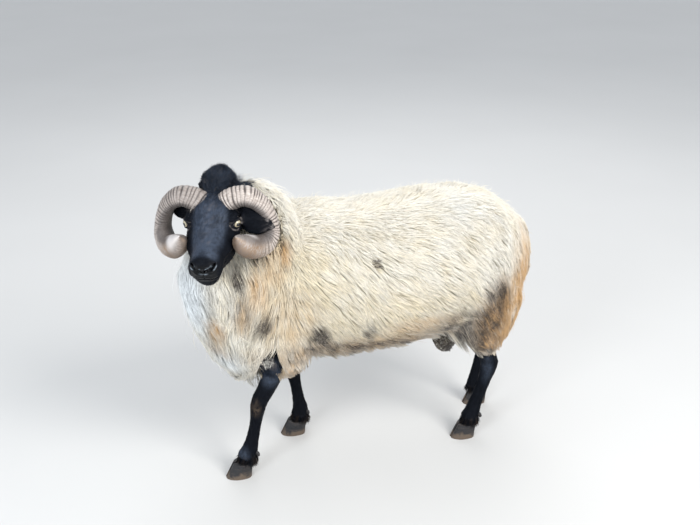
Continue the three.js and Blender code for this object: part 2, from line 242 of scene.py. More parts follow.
class Drift:
    """Smooth seeded noise of place, about one either way, from a few crossing waves."""

    def __init__(self, seed, wavelength, waves=10):
        chance = np.random.default_rng(seed)
        heading = unit(chance.normal(size=(waves, 3)))
        self.wave = heading * 2 * np.pi / (wavelength * chance.uniform(0.7, 1.5, (waves, 1)))
        self.phase = chance.uniform(0, 2 * np.pi, waves)

    def __call__(self, places):
        return np.sin(places @ self.wave.T + self.phase).sum(1) / math.sqrt(len(self.phase) / 2)


def read(items, key, width=1, kind=np.float32):
    """One property of all the items of a mesh, in rows of so many numbers."""
    flat = np.empty(len(items) * width, kind)
    items.foreach_get(key, flat)
    return flat.reshape(-1, width) if width > 1 else flat


def points_of(mesh):
    """The places of a mesh's points."""
    return read(mesh.vertices, "co", 3).astype(float)


def move_points(mesh, points):
    """Puts the mesh's points at new places."""
    mesh.vertices.foreach_set("co", points.astype(np.float32).ravel())
    mesh.update()


def normals_of(mesh):
    """The normals at a mesh's points."""
    return read(mesh.vertex_normals, "vector", 3).astype(float)


def give_values(mesh, **columns):
    """Stores one number for each point of the mesh under each name, for its material to read."""
    for name, values in columns.items():
        held = mesh.attributes.get(name) or mesh.attributes.new(name, "FLOAT", "POINT")
        held.data.foreach_set("value", np.asarray(values, np.float32))


def give_vectors(mesh, name, values):
    """Stores one vector for each point of the mesh."""
    held = mesh.attributes.get(name) or mesh.attributes.new(name, "FLOAT_VECTOR", "POINT")
    held.data.foreach_set("vector", np.asarray(values, np.float32).ravel())


class Web:
    """The neighbours of each point of a mesh, for evening values out over it."""

    def __init__(self, mesh):
        self.ends = read(mesh.edges, "vertices", 2, np.int32)
        self.count = len(mesh.vertices)
        self.degree = np.bincount(self.ends.ravel(), minlength=self.count).clip(1)

    def mean(self, values):
        """For each point, the mean of its neighbours' values."""
        a, b = self.ends.T
        columns = values.reshape(self.count, -1).T
        total = [np.bincount(a, c[b], self.count) + np.bincount(b, c[a], self.count)
                 for c in columns]
        return (np.array(total) / self.degree).T.reshape(values.shape)

    def evened(self, values, rounds):
        """Values evened out over the mesh, round by round."""
        for _ in range(rounds):
            values = 0.5 * values + 0.5 * self.mean(values)
        return values

    def rounded(self, points, rounds, amount=1.0, give_back=0.526):
        """Smooths a shape and gives back what plain smoothing takes from its size."""
        shape = np.broadcast_to(np.asarray(amount, float), (self.count,))[:, None]
        for _ in range(rounds):
            points = points + 0.5 * shape * (self.mean(points) - points)
            points = points - give_back * shape * (self.mean(points) - points)
        return points


# ---- The head's own frame.

HEAD_TURN, HEAD_NOD, HEAD_TILT = (math.radians(a) for a in (68, 22, 1.5))
HEAD_AXES = np.array(Matrix.Rotation(HEAD_TURN, 3, "Z") @ Matrix.Rotation(HEAD_NOD, 3, "Y")
                     @ Matrix.Rotation(HEAD_TILT, 3, "X"))
EYE_CENTRE = (2, 51, 1)
EYE_RADIUS = 14


def eye_at(side):
    """The middle of one eye in the head's frame."""
    return np.array((EYE_CENTRE[0], side * EYE_CENTRE[1], EYE_CENTRE[2]))


def middle_of(node):
    """The middle of a CAD node's box."""
    low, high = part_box(node)
    return (np.array(low) + np.array(high)) / 2


HEAD_PLACE = ((middle_of("eye_left") + middle_of("eye_right")) / 2
              - HEAD_AXES @ np.array((EYE_CENTRE[0], 0, EYE_CENTRE[2])) * MM)


def to_head(places):
    """Places of the row as millimetres in the head's frame."""
    return (places - HEAD_PLACE) @ HEAD_AXES / MM


def from_head(places):
    """Places in the row's frame, from millimetres in the head's."""
    return HEAD_PLACE + np.asarray(places, float) * MM @ HEAD_AXES.T


# ---- Markings, shared by skin and coat: stains, and light and shade painted as colour. Each is a soft spot: centre, reach along each axis, share.

FLOW = np.array(((0.80, -5.4, 0), (0, 0, 9), (0.60, 7.2, 0)))  # to streaks that run down and back
TAN_SPOTS = (
    ((-0.425, 0.0, 0.385), (0.082, 0.25, 0.20), 1.15),  # the rump, behind
    ((-0.355, 0.13, 0.36), (0.090, 0.08, 0.14), 1.1),  # the thighs
    ((-0.355, -0.13, 0.36), (0.090, 0.08, 0.14), 1.1),
    ((0.286, 0.140, 0.540), (0.030, 0.05, 0.060), 0.62),  # the near side of the throat
    ((0.212, 0.128, 0.625), (0.020, 0.05, 0.040), 0.75),
    ((0.380, 0.090, 0.430), (0.024, 0.05, 0.040), 0.7),
    ((0.320, 0.130, 0.480), (0.030, 0.05, 0.060), 0.4),
    ((0.375, 0.06, 0.37), (0.03, 0.05, 0.04), 0.25),
    ((-0.130, 0.155, 0.405), (0.110, 0.06, 0.030), 0.5),
    ((0.215, 0.15, 0.44), (0.085, 0.06, 0.11), 0.32),  # the shoulder
    ((0.25, 0.13, 0.60), (0.05, 0.06, 0.06), 0.40),
    ((0.0, 0.14, 0.350), (0.34, 0.10, 0.050), 0.5),  # along the belly's edge
    ((0.0, -0.14, 0.350), (0.34, 0.10, 0.050), 0.5),
    ((0.21, 0.10, 0.30), (0.08, 0.08, 0.06), 0.45),
    ((0.19, -0.10, 0.30), (0.08, 0.08, 0.06), 0.45),
)
BURR = (-0.002, 0.152, 0.578)  # a dark burr caught in the wool of the flank
BURR_REACH = 0.0095
OTHER_FLANK = 9  # metres added there, so that the burr is on one flank only
# Dark spots: dung, mud and a burr, and painted shade in creases, behind the elbow and under the belly and
# horns.
SOIL_SPOTS = (
    (BURR, (0.0085, 0.03, 0.0085), 4.0),
    ((-0.335, 0.150, 0.440), (0.036, 0.06, 0.050), 0.9),  # the streaks down the thigh
    ((-0.305, 0.135, 0.375), (0.058, 0.06, 0.070), 1.0),
    ((-0.300, 0.120, 0.310), (0.050, 0.06, 0.050), 0.9),
    ((-0.300, 0.100, 0.265), (0.06, 0.06, 0.035), 0.85),
    ((-0.335, -0.14, 0.36), (0.03, 0.05, 0.10), 0.6),
    ((-0.330, -0.10, 0.265), (0.06, 0.06, 0.035), 0.8),
    ((-0.255, 0.0, 0.27), (0.065, 0.06, 0.07), 7.0),  # the scrotum
    ((0.273, 0.135, 0.443), (0.026, 0.04, 0.034), 1.0),  # bits in the mane
    ((0.329, 0.130, 0.578), (0.018, 0.05, 0.040), 1.0),
    ((0.325, 0.130, 0.50), (0.030, 0.05, 0.07), 0.35),
    ((0.014, 0.160, 0.408), (0.020, 0.05, 0.022), 0.8),
    ((-0.325, 0.150, 0.455), (0.040, 0.06, 0.045), 0.9),
    ((0.385, 0.050, 0.385), (0.030, 0.04, 0.030), 0.5),
    # Painted shade between the scrotum and the thigh.
    ((-0.250, 0.11, 0.335), (0.045, 0.07, 0.040), 1.3),
    ((-0.225, 0.14, 0.385), (0.052, 0.06, 0.045), 1.0),  # painted shade in the crease where the thigh meets the flank
    ((0.290, 0.145, 0.615), (0.045, 0.04, 0.022), 0.5),  # painted shadow under the horn
    ((0.395, 0.06, 0.50), (0.013, 0.08, 0.07), 0.5),  # parting below the chin
    ((0.0, 0.0, 0.29), (0.34, 0.12, 0.055), 0.55),  # stains and painted shade under the belly
    # Dark brown wisps along the belly's edge, with painted shade among them.
    ((0.02, 0.13, 0.352), (0.24, 0.07, 0.038), 0.75),
    ((0.02, -0.13, 0.352), (0.24, 0.07, 0.038), 0.6),
    ((0.136, 0.145, 0.392), (0.026, 0.05, 0.042), 1.9),  # the shade behind the elbow
)
LEG_TOPS = (((0.251, 0.088, 0.318), (0.028, 0.06, 0.056), 1.0),)  # where the near foreleg shows
LEG_SHOWS = 0.4  # above this share of a leg top there is hair and no wool
# Painted shade: a blue-white tint for wool in the shade of breast and brisket, and for sky light on the
# back.
COOL_SPOTS = (
    ((0.44, 0.06, 0.50), (0.055, 0.14, 0.17), 0.9),
    ((0.35, 0.05, 0.33), (0.05, 0.06, 0.06), 0.7),
    ((-0.27, 0.10, 0.70), (0.12, 0.12, 0.06), 0.3),
)
WARM_SPOTS = (
    ((0.20, 0.14, 0.53), (0.14, 0.09, 0.17), 0.55),
    ((0.0, 0.16, 0.43), (0.30, 0.08, 0.09), 0.45),
    ((0.20, -0.14, 0.50), (0.14, 0.09, 0.17), 0.6),
    ((0.0, -0.16, 0.43), (0.30, 0.08, 0.09), 0.45),
)
# Painted highlight: pale grey on the top of the near foreleg, where it leaves the wool.
SHIN_GREY = (((0.254, 0.085, 0.322), (0.018, 0.04, 0.028), 1.0),)
BLOOM_SPOTS = (  # painted sheen on the fronts of the near legs
    ((0.245, 0.08, 0.295), (0.035, 0.04, 0.045), 0.9),
    ((0.325, 0.06, 0.065), (0.02, 0.03, 0.03), 0.5),
    ((-0.345, 0.075, 0.205), (0.02, 0.03, 0.05), 0.5),
)
MUDDY_KNEE = (((0.287, 0.062, 0.196), (0.016, 0.018, 0.024), 0.55),)
FOLDS = (  # where long wool hangs from the flank over the thigh
    ((-0.245, 0.09, 0.37), (0.045, 0.08, 0.05), 1.0),
    ((-0.245, -0.09, 0.37), (0.045, 0.08, 0.05), 1.0),
)
blotch = Drift(3, 0.035)
fleck = Drift(4, 0.011)


def spots(places, table):
    """How strongly a table of soft spots marks each place."""
    total = np.zeros(len(places))
    for centre, reach, share in table:
        away = np.linalg.norm((places - np.array(centre)) / np.array(reach), axis=1)
        total = np.maximum(total, share * smooth(1.35, 0.35, away))
    return total


def off_burr(places, y):
    """How far each place lies from the burr, as seen from its own flank."""
    return np.linalg.norm((places - np.array(BURR))[..., ::2], axis=-1) + OTHER_FLANK * (y < 0)


def paleness(places):
    """Grey and pale hair among the black: the brow and the crown, and a painted highlight on the top of the
    near shin.
    """
    head = to_head(places)
    x, y, z = head.T
    brow = smooth(-60, -25, x) * smooth(60, 5, x) * smooth(26, 6, np.abs(y)) * smooth(0, 25, z)
    bridge = smooth(20, 50, x) * smooth(110, 85, x) * smooth(20, 8, np.abs(y)) * smooth(0, 15, z)
    tip = 0.16 * smooth(98, 124, np.abs(y)) * (np.abs(z) < 70) * (x > -60)
    tip = tip * (places[:, 2] > HEAD_HEIGHT)
    tip = tip * (0.8 + 0.5 * fleck(places))
    lids = sum(np.exp(-((np.linalg.norm(head - eye_at(side), axis=1) - 18.5) / 2.6) ** 2)
               for side in SIDES.values())
    tip = np.maximum(tip, 0.30 * lids * (z < 14))
    tip = np.maximum(tip, spots(places, SHIN_GREY))
    return np.clip(np.maximum(0.10 * brow + 0.07 * bridge, tip), 0, 1) * (1 + 0.5 * fleck(places))


def bloom_of(places):
    """Where a blue sheen is painted on black hair: brow, bridge of the nose, poll and fronts of limbs."""
    x, y, z = to_head(places).T
    face = smooth(-70, -30, x) * smooth(132, 112, x) * smooth(46, 26, np.abs(y)) * smooth(-16, 12, z)
    poll = smooth(-30, -60, x) * smooth(8, 34, z) * (places[:, 2] > 0.6)
    bloom = np.maximum(np.maximum(face, 0.55 * poll), spots(places, BLOOM_SPOTS))
    return np.clip(bloom * (1 + 0.2 * blotch(places)), 0, 1)


def muddiness(places):
    """Mud on the near knee and round the pasterns."""
    low = 0.5 * smooth(0.062, 0.042, places[:, 2]) * (0.5 + 0.5 * fleck(places))
    knee = spots(places, MUDDY_KNEE) * (0.6 + 0.5 * fleck(places))
    return np.clip(np.maximum(low, knee), 0, 1)


def gleam(places):
    """Where a wet highlight is painted as pale grey: the upper rims of the nostrils and the middle of the
    lip.
    """
    head = to_head(places)
    width, above = np.abs(head[:, 1]), head[:, 2] + 15.5 - 0.44 * np.abs(head[:, 1])
    lip = np.exp(-(width / 6.5) ** 2 - ((head[:, 2] + 24) / 1.8) ** 2) * (head[:, 0] > 125)
    total = 0.45 * lip
    for side in SIDES.values():
        away, share = along_line(head, nostril_line(side))
        rim = np.exp(-((away - 5.8) / 1.3) ** 2) * smooth(0.05, 0.25, share) * smooth(0.9, 0.6, share)
        under = np.exp(-((away - 6.2) / 1.2) ** 2) * smooth(0.62, 0.8, share) * (side * head[:, 1] > 0)
        total = np.maximum(total, np.where(above > 0, rim, 0.5 * under))
    return np.clip(total * (0.75 + 0.6 * fleck(places)), 0, 1)


def wetness(places):
    """The bare wet skin of nose and lips."""
    x, y, z = to_head(places).T
    nose = smooth(122, 134, x + 0.25 * (z + 20) * (z < -20)) * smooth(34, 24, np.abs(y))
    return nose * smooth(6, -6, z)


def markings(places, streak=0.5):
    """The stains of the fleece at each place, with painted shade among them. streak, from 0 to 1, varies
    them lock by lock.
    """
    rough = 0.5 * blotch(places) + 0.3 * fleck(places)
    tan = spots(places, TAN_SPOTS) * (0.55 + 0.9 * streak + 0.3 * rough)
    soil = spots(places, SOIL_SPOTS) * (0.15 + 1.5 * (1 - streak) + 0.45 * rough)
    warm = 0.10 + spots(places, WARM_SPOTS) + 0.35 * (streak - 0.5) + 0.12 * rough
    cool = spots(places, COOL_SPOTS)
    return {"tan": np.clip(tan, 0, 1), "soil": np.clip(soil, 0, 1), "warm": np.clip(warm, 0, 1),
            "cool": np.clip(cool, 0, 1)}


# ---- The skin.

def joined_copy(names, piece_name):
    """One object with merged copies of CAD nodes in it."""
    copies = []
    for name in names:
        copy = bpy.data.objects.new(f"copy_of_{name}", frame["nodes"][name].data.copy())
        copy.data.materials.clear()
        bpy.context.scene.collection.objects.link(copy)
        copies.append(copy)
    alone(*copies)
    edit_whole(bpy.ops.mesh.remove_doubles, threshold=1e-6)
    if len(copies) > 1:
        bpy.ops.object.join()
    piece = bpy.context.object
    piece.name = piece.data.name = piece_name
    return piece


def tree_of(mesh, points=None):
    """A search tree of a triangle mesh, and its triangles."""
    mesh.calc_loop_triangles()
    corners = read(mesh.loop_triangles, "vertices", 3, np.int32)
    points = points_of(mesh) if points is None else points
    return BVHTree.FromPolygons(points.tolist(), corners.tolist(), all_triangles=True), corners


def nearest_node(places):
    """The index in FLESH of the node whose surface is nearest to each place."""
    points, corners, owner, start = [], [], [], 0
    for index, name in enumerate(FLESH):
        mesh = frame["nodes"][name].data
        held = points_of(mesh)
        _, triangles = tree_of(mesh)
        points.append(held)
        corners.append(triangles + start)
        owner.append(np.full(len(triangles), index))
        start += len(held)
    tree = BVHTree.FromPolygons(np.concatenate(points).tolist(),
                                np.concatenate(corners).tolist(), all_triangles=True)
    owner = np.concatenate(owner)
    found = [tree.find_nearest(place)[2] for place in places.tolist()]
    return owner[np.array(found)]


def room_inside(points, normals, tree):
    """How far each point may sink before it nears the far side of the flesh."""
    room = np.full(len(points), 1.0)
    starts = (points - normals * 2 * MM).tolist()
    for i, (start, heading) in enumerate(zip(starts, (-normals).tolist())):
        reached = tree.ray_cast(start, heading, 0.3)[3]
        if reached is not None:
            room[i] = reached
    return room


def eye_axes(side):
    """The eye's own axes in the head frame: along the lids, up, and outwards."""
    out = unit(np.array((0.46, side * 0.87, 0.14)))
    level = np.array((1.0, 0, 0.34))
    along = unit(level - out * (level @ out))
    up = np.cross(out, along) * side * -1
    return along, up if up[2] > 0 else -up, out


LID_HALF_LENGTH = 13.4
LID_HALF_HEIGHT = 8.8


def lid_gap(u, v):
    """About how far outside the almond between the lids a place is, in mm; negative inside."""
    half = LID_HALF_HEIGHT * np.where(v > 0, 0.86, 0.92)
    inside = np.abs(u / LID_HALF_LENGTH) ** 1.8 + np.abs(v / half) ** 1.9
    return (np.sqrt(inside) - 1) * 9.5


def shape_eye(head, side):
    """Opens the lids over one eye and folds the skin round them."""
    along, up, out = eye_axes(side)
    away = head - eye_at(side)
    reach = np.linalg.norm(away, axis=1)
    facing = away @ out / np.maximum(reach, 1e-6)
    near = (facing > 0.05) & (reach < 46)
    heading = away / np.maximum(reach, 1e-6)[:, None]
    u = heading @ along * EYE_RADIUS * 1.08
    v = heading @ up * EYE_RADIUS * 1.08
    gap = lid_gap(u, v)
    rim = EYE_RADIUS + np.clip(0.3 + 1.25 * gap, -1.7, 2.1)
    lid = smooth(4.5, 1.5, gap)
    target = np.where(lid > 0, lid * rim + (1 - lid) * np.maximum(reach, rim), reach)
    upper = (v > -2) & (gap > 2)
    fold = np.exp(-((gap - 6.2) / 1.1) ** 2) * upper * smooth(-4, 3, v)
    pouch = np.exp(-((gap - 5.2) / 1.3) ** 2) * smooth(2, -4, v)
    ridge = np.exp(-((gap - 9.0) / 2.2) ** 2) * smooth(-2, 4, v)
    target = target - 1.5 * fold - 0.9 * pouch + 0.9 * ridge
    mix = smooth(44, 30, reach) * near
    return head + heading * (mix * (target - reach))[:, None]


def along_line(points, line):
    """Each point's distance to a polyline, and the share of the way along it."""
    best = np.full(len(points), 1e9)
    share = np.zeros(len(points))
    for i, (a, b) in enumerate(zip(line[:-1], line[1:])):
        t = np.clip((points - a) @ (b - a) / ((b - a) @ (b - a)), 0, 1)
        gone = np.linalg.norm(points - a - t[:, None] * (b - a), axis=1)
        closer = gone < best
        best[closer], share[closer] = gone[closer], ((i + t) / (len(line) - 1))[closer]
    return best, share


def nostril_line(side):
    """The middle line of one nostril."""
    return np.array([(143.5, side * 3.5, -14.5), (142.5, side * 9, -13.5), (140, side * 15, -11.5),
                     (136.5, side * 20.5, -8.5), (130, side * 25, -4.5)], float)


def off_nostrils(head):
    """How far each place is from the nearer nostril's middle line."""
    return np.minimum(*(along_line(head, nostril_line(side))[0] for side in SIDES.values()))


def shape_muzzle(head, normals):
    """Nostrils, the groove of the upper lip and the closed mouth."""
    moved = head.copy()
    for side in SIDES.values():
        line = nostril_line(side)
        away, share = along_line(head, line)
        wide = 1.9 + 2.9 * np.sin(np.pi * np.clip(share, 0, 1) ** 0.8)
        into = np.array((-0.80, -0.35 * side, 0.15))
        moved += into * (4.6 * smooth(1.25, 0.2, away / wide) * smooth(0, 0.12, share))[:, None]
        moved += normals * (1.5 * np.exp(-((away - wide - 2.2) / 1.9) ** 2))[:, None]
    front = smooth(122, 136, head[:, 0])
    groove = np.exp(-(head[:, 1] / 1.6) ** 2) * front * smooth(-20, -26, head[:, 2])
    groove *= smooth(-46, -41, head[:, 2])
    moved -= normals * (2.2 * groove)[:, None]
    corner = smooth(74, 86, head[:, 0])
    lips = -42.0 - 0.0009 * (142 - head[:, 0]) ** 2 + 0.9 * np.cos(head[:, 1] / 6.5)
    shut = np.exp(-((head[:, 2] - lips) / 1.35) ** 2) * corner
    swell = np.exp(-((head[:, 2] - lips - 5.5) / 3.0) ** 2) * corner
    chin = np.exp(-((head[:, 2] - lips + 5.5) / 3.2) ** 2) * corner
    full = smooth(84, 104, head[:, 0]) * smooth(-50, -62, head[:, 2])
    moved[:, 2] -= 4.5 * full
    return moved + normals * (0.9 * swell + 0.7 * chin - 2.9 * shut)[:, None]


def shape_cheeks(head, normals):
    """The bones and hollows under the skin of the face, and soft folds beside the mouth."""
    x, y, z = head.T
    width = np.abs(y)
    ridge = np.exp(-((x - 46) / 26) ** 2 - ((z + 16 + 0.28 * (x - 46)) / 6.0) ** 2)
    below = np.exp(-((x - 52) / 28) ** 2 - ((z + 34) / 9.0) ** 2)
    tear = np.exp(-((x - 24) / 9) ** 2 - ((z + 2) / 4.5) ** 2) * smooth(30, 40, width)
    bridge = np.exp(-((width - 15) / 5) ** 2) * smooth(10, 40, x) * smooth(118, 96, x) * (z > 0)
    folds = np.cos((x - 70) * 0.42 + 0.05 * z * 1.5) * np.exp(-((x - 82) / 13) ** 2)
    folds *= smooth(-20, -30, z) * smooth(-74, -60, z)
    give = 1.3 * ridge - 1.6 * below - 1.5 * tear + 0.8 * bridge + 0.5 * folds
    return head + normals * give[:, None]


# The share of faces to keep, and how hard hairy and woolly parts are thinned.
EARLY_THINNING = (0.30, 0.38, 1.0)
LAST_THINNING = (0.76, 1.0, 1.0)


def thin_out(skin, hairy, ratio, on_hair, on_wool):
    """Leaves fewer faces on limbs and ears and under the wool, and all of the face's."""
    head = to_head(points_of(skin.data))
    in_face = smooth(-52, -40, head[:, 0]) * (np.abs(head[:, 1]) < 78) * (np.abs(head[:, 2] + 25) < 80)
    thin = skin.vertex_groups.new(name="thin_out")
    thin.add(np.flatnonzero((hairy > 0.5) & (in_face < 0.1)).tolist(), on_hair, "REPLACE")
    thin.add(np.flatnonzero(hairy < 0.5).tolist(), on_wool, "REPLACE")
    fewer = skin.modifiers.new("thin_out", "DECIMATE")
    fewer.ratio, fewer.vertex_group, fewer.vertex_group_factor = ratio, thin.name, 1.0
    alone(skin)
    bpy.ops.object.modifier_apply(modifier=fewer.name)
    skin.vertex_groups.clear()


def build_skin():
    """Fuses the flesh into one skin, sinks it by the coat's depth and shapes the face."""
    sizes = bpy.context.scene.ram_skin
    skin = joined_copy(FLESH, "skin")
    alone(skin)
    swell = skin.modifiers.new("seal", "DISPLACE")
    swell.strength, swell.mid_level = sizes.seal, 0.0
    bpy.ops.object.modifier_apply(modifier=swell.name)
    lids = []
    for side in SIDES.values():
        bpy.ops.mesh.primitive_ico_sphere_add(
            subdivisions=4, radius=sizes.lid_reach, location=from_head(eye_at(side)).tolist())
        lids.append(bpy.context.object)
    alone(*lids, skin)
    bpy.ops.object.join()
    skin.data.remesh_voxel_size = sizes.voxel
    bpy.ops.object.voxel_remesh()
    mesh = skin.data
    web = Web(mesh)
    points = web.rounded(points_of(mesh), 34, give_back=0.508)
    move_points(mesh, points)
    owner = nearest_node(points)
    hairy = np.isin(owner, [FLESH.index(name) for name in HAIRY]).astype(float)
    thin_out(skin, hairy, *EARLY_THINNING)
    refine(skin, lambda head: (head[:, 0] > -38) & (np.abs(head[:, 1]) < 78)
           & (head[:, 2] > -104) & (head[:, 2] < 60))
    refine(skin, near_eyes_and_nose)
    refine(skin, near_nostrils)
    mesh = skin.data
    web = Web(mesh)
    points = web.rounded(points_of(mesh), 5)
    move_points(mesh, points)
    normals = normals_of(mesh)
    owner = nearest_node(points)
    depth = np.array([COAT_DEPTH[name] for name in FLESH])[owner] * MM
    dark = np.isin(owner, [FLESH.index(name) for name in DARK]).astype(float)
    hairy = np.isin(owner, [FLESH.index(name) for name in HAIRY]).astype(float)
    shown = spots(points, LEG_TOPS) > LEG_SHOWS
    dark[shown], hairy[shown] = 1, 1
    tree, _ = tree_of(mesh, points)
    depth = np.minimum(depth, 0.3 * room_inside(points, normals, tree))
    depth = np.minimum(web.evened(depth, 14), web.evened(depth, 40) * 1.2)
    normals = unit(web.evened(normals, 6))
    woolly = smooth(0.5, 0.05, web.evened(hairy, 3))
    points = points - normals * depth[:, None]
    points = web.rounded(points, 22, woolly)
    move_points(mesh, points)

    head = to_head(points)
    face = hairy * (head[:, 0] > -110) * (np.linalg.norm(head - np.array((20, 0, -25)), axis=1) < 170)
    # Painted shade: how far into the nostrils' openings the skin is made near black.
    hollow = smooth(3.6, 1.9, off_nostrils(head))
    in_head = normals_of(mesh) @ HEAD_AXES
    shaped = shape_cheeks(head, in_head * (face > 0)[:, None])
    shaped = shape_muzzle(shaped, in_head)
    for side in SIDES.values():
        shaped = shape_eye(shaped, side)
    points = np.where((face > 0)[:, None], from_head(shaped), points)
    points = web.rounded(points, 3, smooth(11, 6, off_nostrils(head)) * (face > 0))
    move_points(mesh, points)

    give_values(mesh, depth=depth, woolly=1 - web.evened(hairy, 2), dark=web.evened(dark, 2),
                hollow=hollow)
    thin_out(skin, hairy, *LAST_THINNING)
    mesh = skin.data
    points = points_of(mesh)
    level = np.ones(len(points))
    # The skin under the wool takes the fleece's colour as at a lock's root, with its painted shade.
    give_values(mesh, **markings(points), tint=0.35 * level, along=0.1 * level,
                pale=paleness(points), wet=wetness(points), gleam=gleam(points),
                bloom=bloom_of(points), mud=muddiness(points))
    give_vectors(mesh, "flow_place", points @ FLOW)
    mesh.shade_smooth()
    finished(skin, finish("ram_skin_and_hair", skin_finish), "fleece", *FLESH)
    return skin


# How far round each eye, the nose and its openings the skin has a finer grain, in millimetres.
EYE_GRAIN = 22
NOSE_GRAIN = 17
NOSTRIL_GRAIN = 12.5


def near_eyes_and_nose(head):
    """Where the skin needs its finest grain."""
    near = np.zeros(len(head), bool)
    for side in SIDES.values():
        near |= np.linalg.norm(head - np.array((4, side * 60, 2)), axis=1) < EYE_GRAIN
        near |= np.linalg.norm(head - np.array((136, side * 14, -16)), axis=1) < NOSE_GRAIN
    return near | ((head[:, 0] > 76) & (np.abs(head[:, 2] + 44) < 6))


def near_nostrils(head):
    """The innermost part of the nose."""
    return np.linalg.norm(head * (1, 0.55, 1) - np.array((137, 0, -12)), axis=1) < NOSTRIL_GRAIN


def refine(piece, chosen_by):
    """Halves the faces whose middles are chosen by their place in the head's frame."""
    alone(piece)
    mesh = piece.data
    chosen = chosen_by(to_head(read(mesh.polygons, "center", 3).astype(float)))
    bpy.ops.object.mode_set(mode="EDIT")
    bpy.ops.mesh.select_mode(type="FACE")
    bpy.ops.mesh.select_all(action="DESELECT")
    bpy.ops.object.mode_set(mode="OBJECT")
    mesh.polygons.foreach_set("select", chosen)
    bpy.ops.object.mode_set(mode="EDIT")
    bpy.ops.mesh.subdivide(number_cuts=1)
    bpy.ops.mesh.quads_convert_to_tris()
    bpy.ops.object.mode_set(mode="OBJECT")


def unwrap(piece, map_name):
    """Unwraps a piece by its own shape."""
    while piece.data.uv_layers:
        piece.data.uv_layers.remove(piece.data.uv_layers[0])
    piece.data.uv_layers.new(name=map_name)
    alone(piece)
    edit_whole(bpy.ops.uv.smart_project, angle_limit=math.radians(66), island_margin=0.002)


# ---- The coat.

class Ground:
    """The skin as the coat's locks see it: places, normals, depth and unwrap anywhere on it."""

    def __init__(self, skin):
        mesh = skin.data
        self.points = points_of(mesh)
        self.tree, self.corners = tree_of(mesh, self.points)
        loops = read(mesh.loop_triangles, "loops", 3, np.int32)
        self.uv = read(mesh.uv_layers[0].data, "uv", 2)[loops].astype(float)
        self.values = {name: read(mesh.attributes[name].data, "value").astype(float)
                       for name in ("depth", "dark", "woolly")}
        web = Web(mesh)
        sharp = web.evened(normals_of(mesh), 2)
        woolly = self.values["woolly"][:, None]
        self.normals = unit(sharp * (1 - woolly) + web.evened(sharp, 14) * woolly)
        a, b, c = (self.points[self.corners[:, i]] for i in range(3))
        self.area = np.linalg.norm(np.cross(b - a, c - a), axis=1) / 2
        self.middle = (a + b + c) / 3

    def mixed(self, values, triangles, weights):
        """The skin's values at places given by triangles and weights of their corners."""
        return (values[self.corners[triangles]] * weights[..., None]).sum(1) if values.ndim > 1 \
            else (values[self.corners[triangles]] * weights).sum(1)

    def weights(self, triangles, places):
        """How much each corner of its triangle weighs at each place."""
        a, b, c = (self.points[self.corners[triangles, i]] for i in range(3))
        ab, ac, ap = b - a, c - a, places - a
        d00, d01, d11 = dot(ab, ab), dot(ab, ac), dot(ac, ac)
        d20, d21 = dot(ap, ab), dot(ap, ac)
        under = np.maximum(d00 * d11 - d01 * d01, 1e-18)
        v, w = (d11 * d20 - d01 * d21) / under, (d00 * d21 - d01 * d20) / under
        shares = np.clip(np.hstack([1 - v - w, v, w]), 0, 1)
        return shares / shares.sum(1, keepdims=True)

    def unwrapped(self, triangles, weights):
        """The place in the skin's unwrap of each place on it."""
        return (self.uv[triangles] * weights[..., None]).sum(1)

    def below(self, places):
        """The nearest place on the skin to each place: triangles and weights."""
        found = [self.tree.find_nearest(place) for place in places.tolist()]
        triangles = np.array([f[2] for f in found])
        landed = np.array([f[0][:] for f in found])
        return triangles, self.weights(triangles, landed)

    def raised(self, places, least):
        """The places, with those that lie lower than the least height above the skin lifted to it."""
        triangles, weights = self.below(places)
        a, b, c = (self.points[self.corners[triangles, i]] for i in range(3))
        out = unit(np.cross(b - a, c - a))
        height = dot(places - self.mixed(self.points, triangles, weights), out)
        return places + out * np.maximum(least - height, 0)

    def scatter(self, chance, count, wanted):
        """Random roots, with wanted (one number for each triangle) as their share of area."""
        heaped = np.cumsum(self.area * wanted)
        spots_on = np.sort(chance.uniform(0, heaped[-1], count))
        triangles = np.searchsorted(heaped, spots_on).clip(0, len(self.area) - 1)
        r, s = np.sqrt(chance.uniform(0, 1, count)), chance.uniform(0, 1, count)
        return triangles, np.stack([1 - r, r * (1 - s), r * s], 1)


swirl = Drift(21, 0.16)
eddy = Drift(22, 0.05)
tuftiness = Drift(23, 0.09)


def lie_of_wool(places):
    """Which way the wool runs at each place, before it is laid on the skin."""
    x, y, z = places.T
    outward = np.tanh(y / 0.035)
    rear = smooth(-0.28, -0.38, x)
    mane = smooth(0.15, 0.27, x)
    high = smooth(0.56, 0.66, z)
    low = smooth(0.54, 0.37, z)
    fall = -0.50 - 0.42 * low - 0.40 * smooth(0.0, 0.17, x) * (1 - high) - 0.25 * rear
    back = np.stack([-0.80 - 0.15 * high + 0.42 * rear, 0.55 * outward, fall], 1)
    pull = -0.30 * np.tanh((x - 0.385) / 0.03) * smooth(0.62, 0.5, z)
    chest = np.stack([pull, 0.35 * outward, np.full(len(x), -1.0)], 1)
    return back * (1 - mane)[:, None] + chest * mane[:, None]


def laid(heading, normals, turn):
    """A heading laid flat on the skin and turned in it by some radians."""
    flat = unit(heading - normals * dot(heading, normals))
    across = np.cross(normals, flat)
    return flat * np.cos(turn)[:, None] + across * np.sin(turn)[:, None]


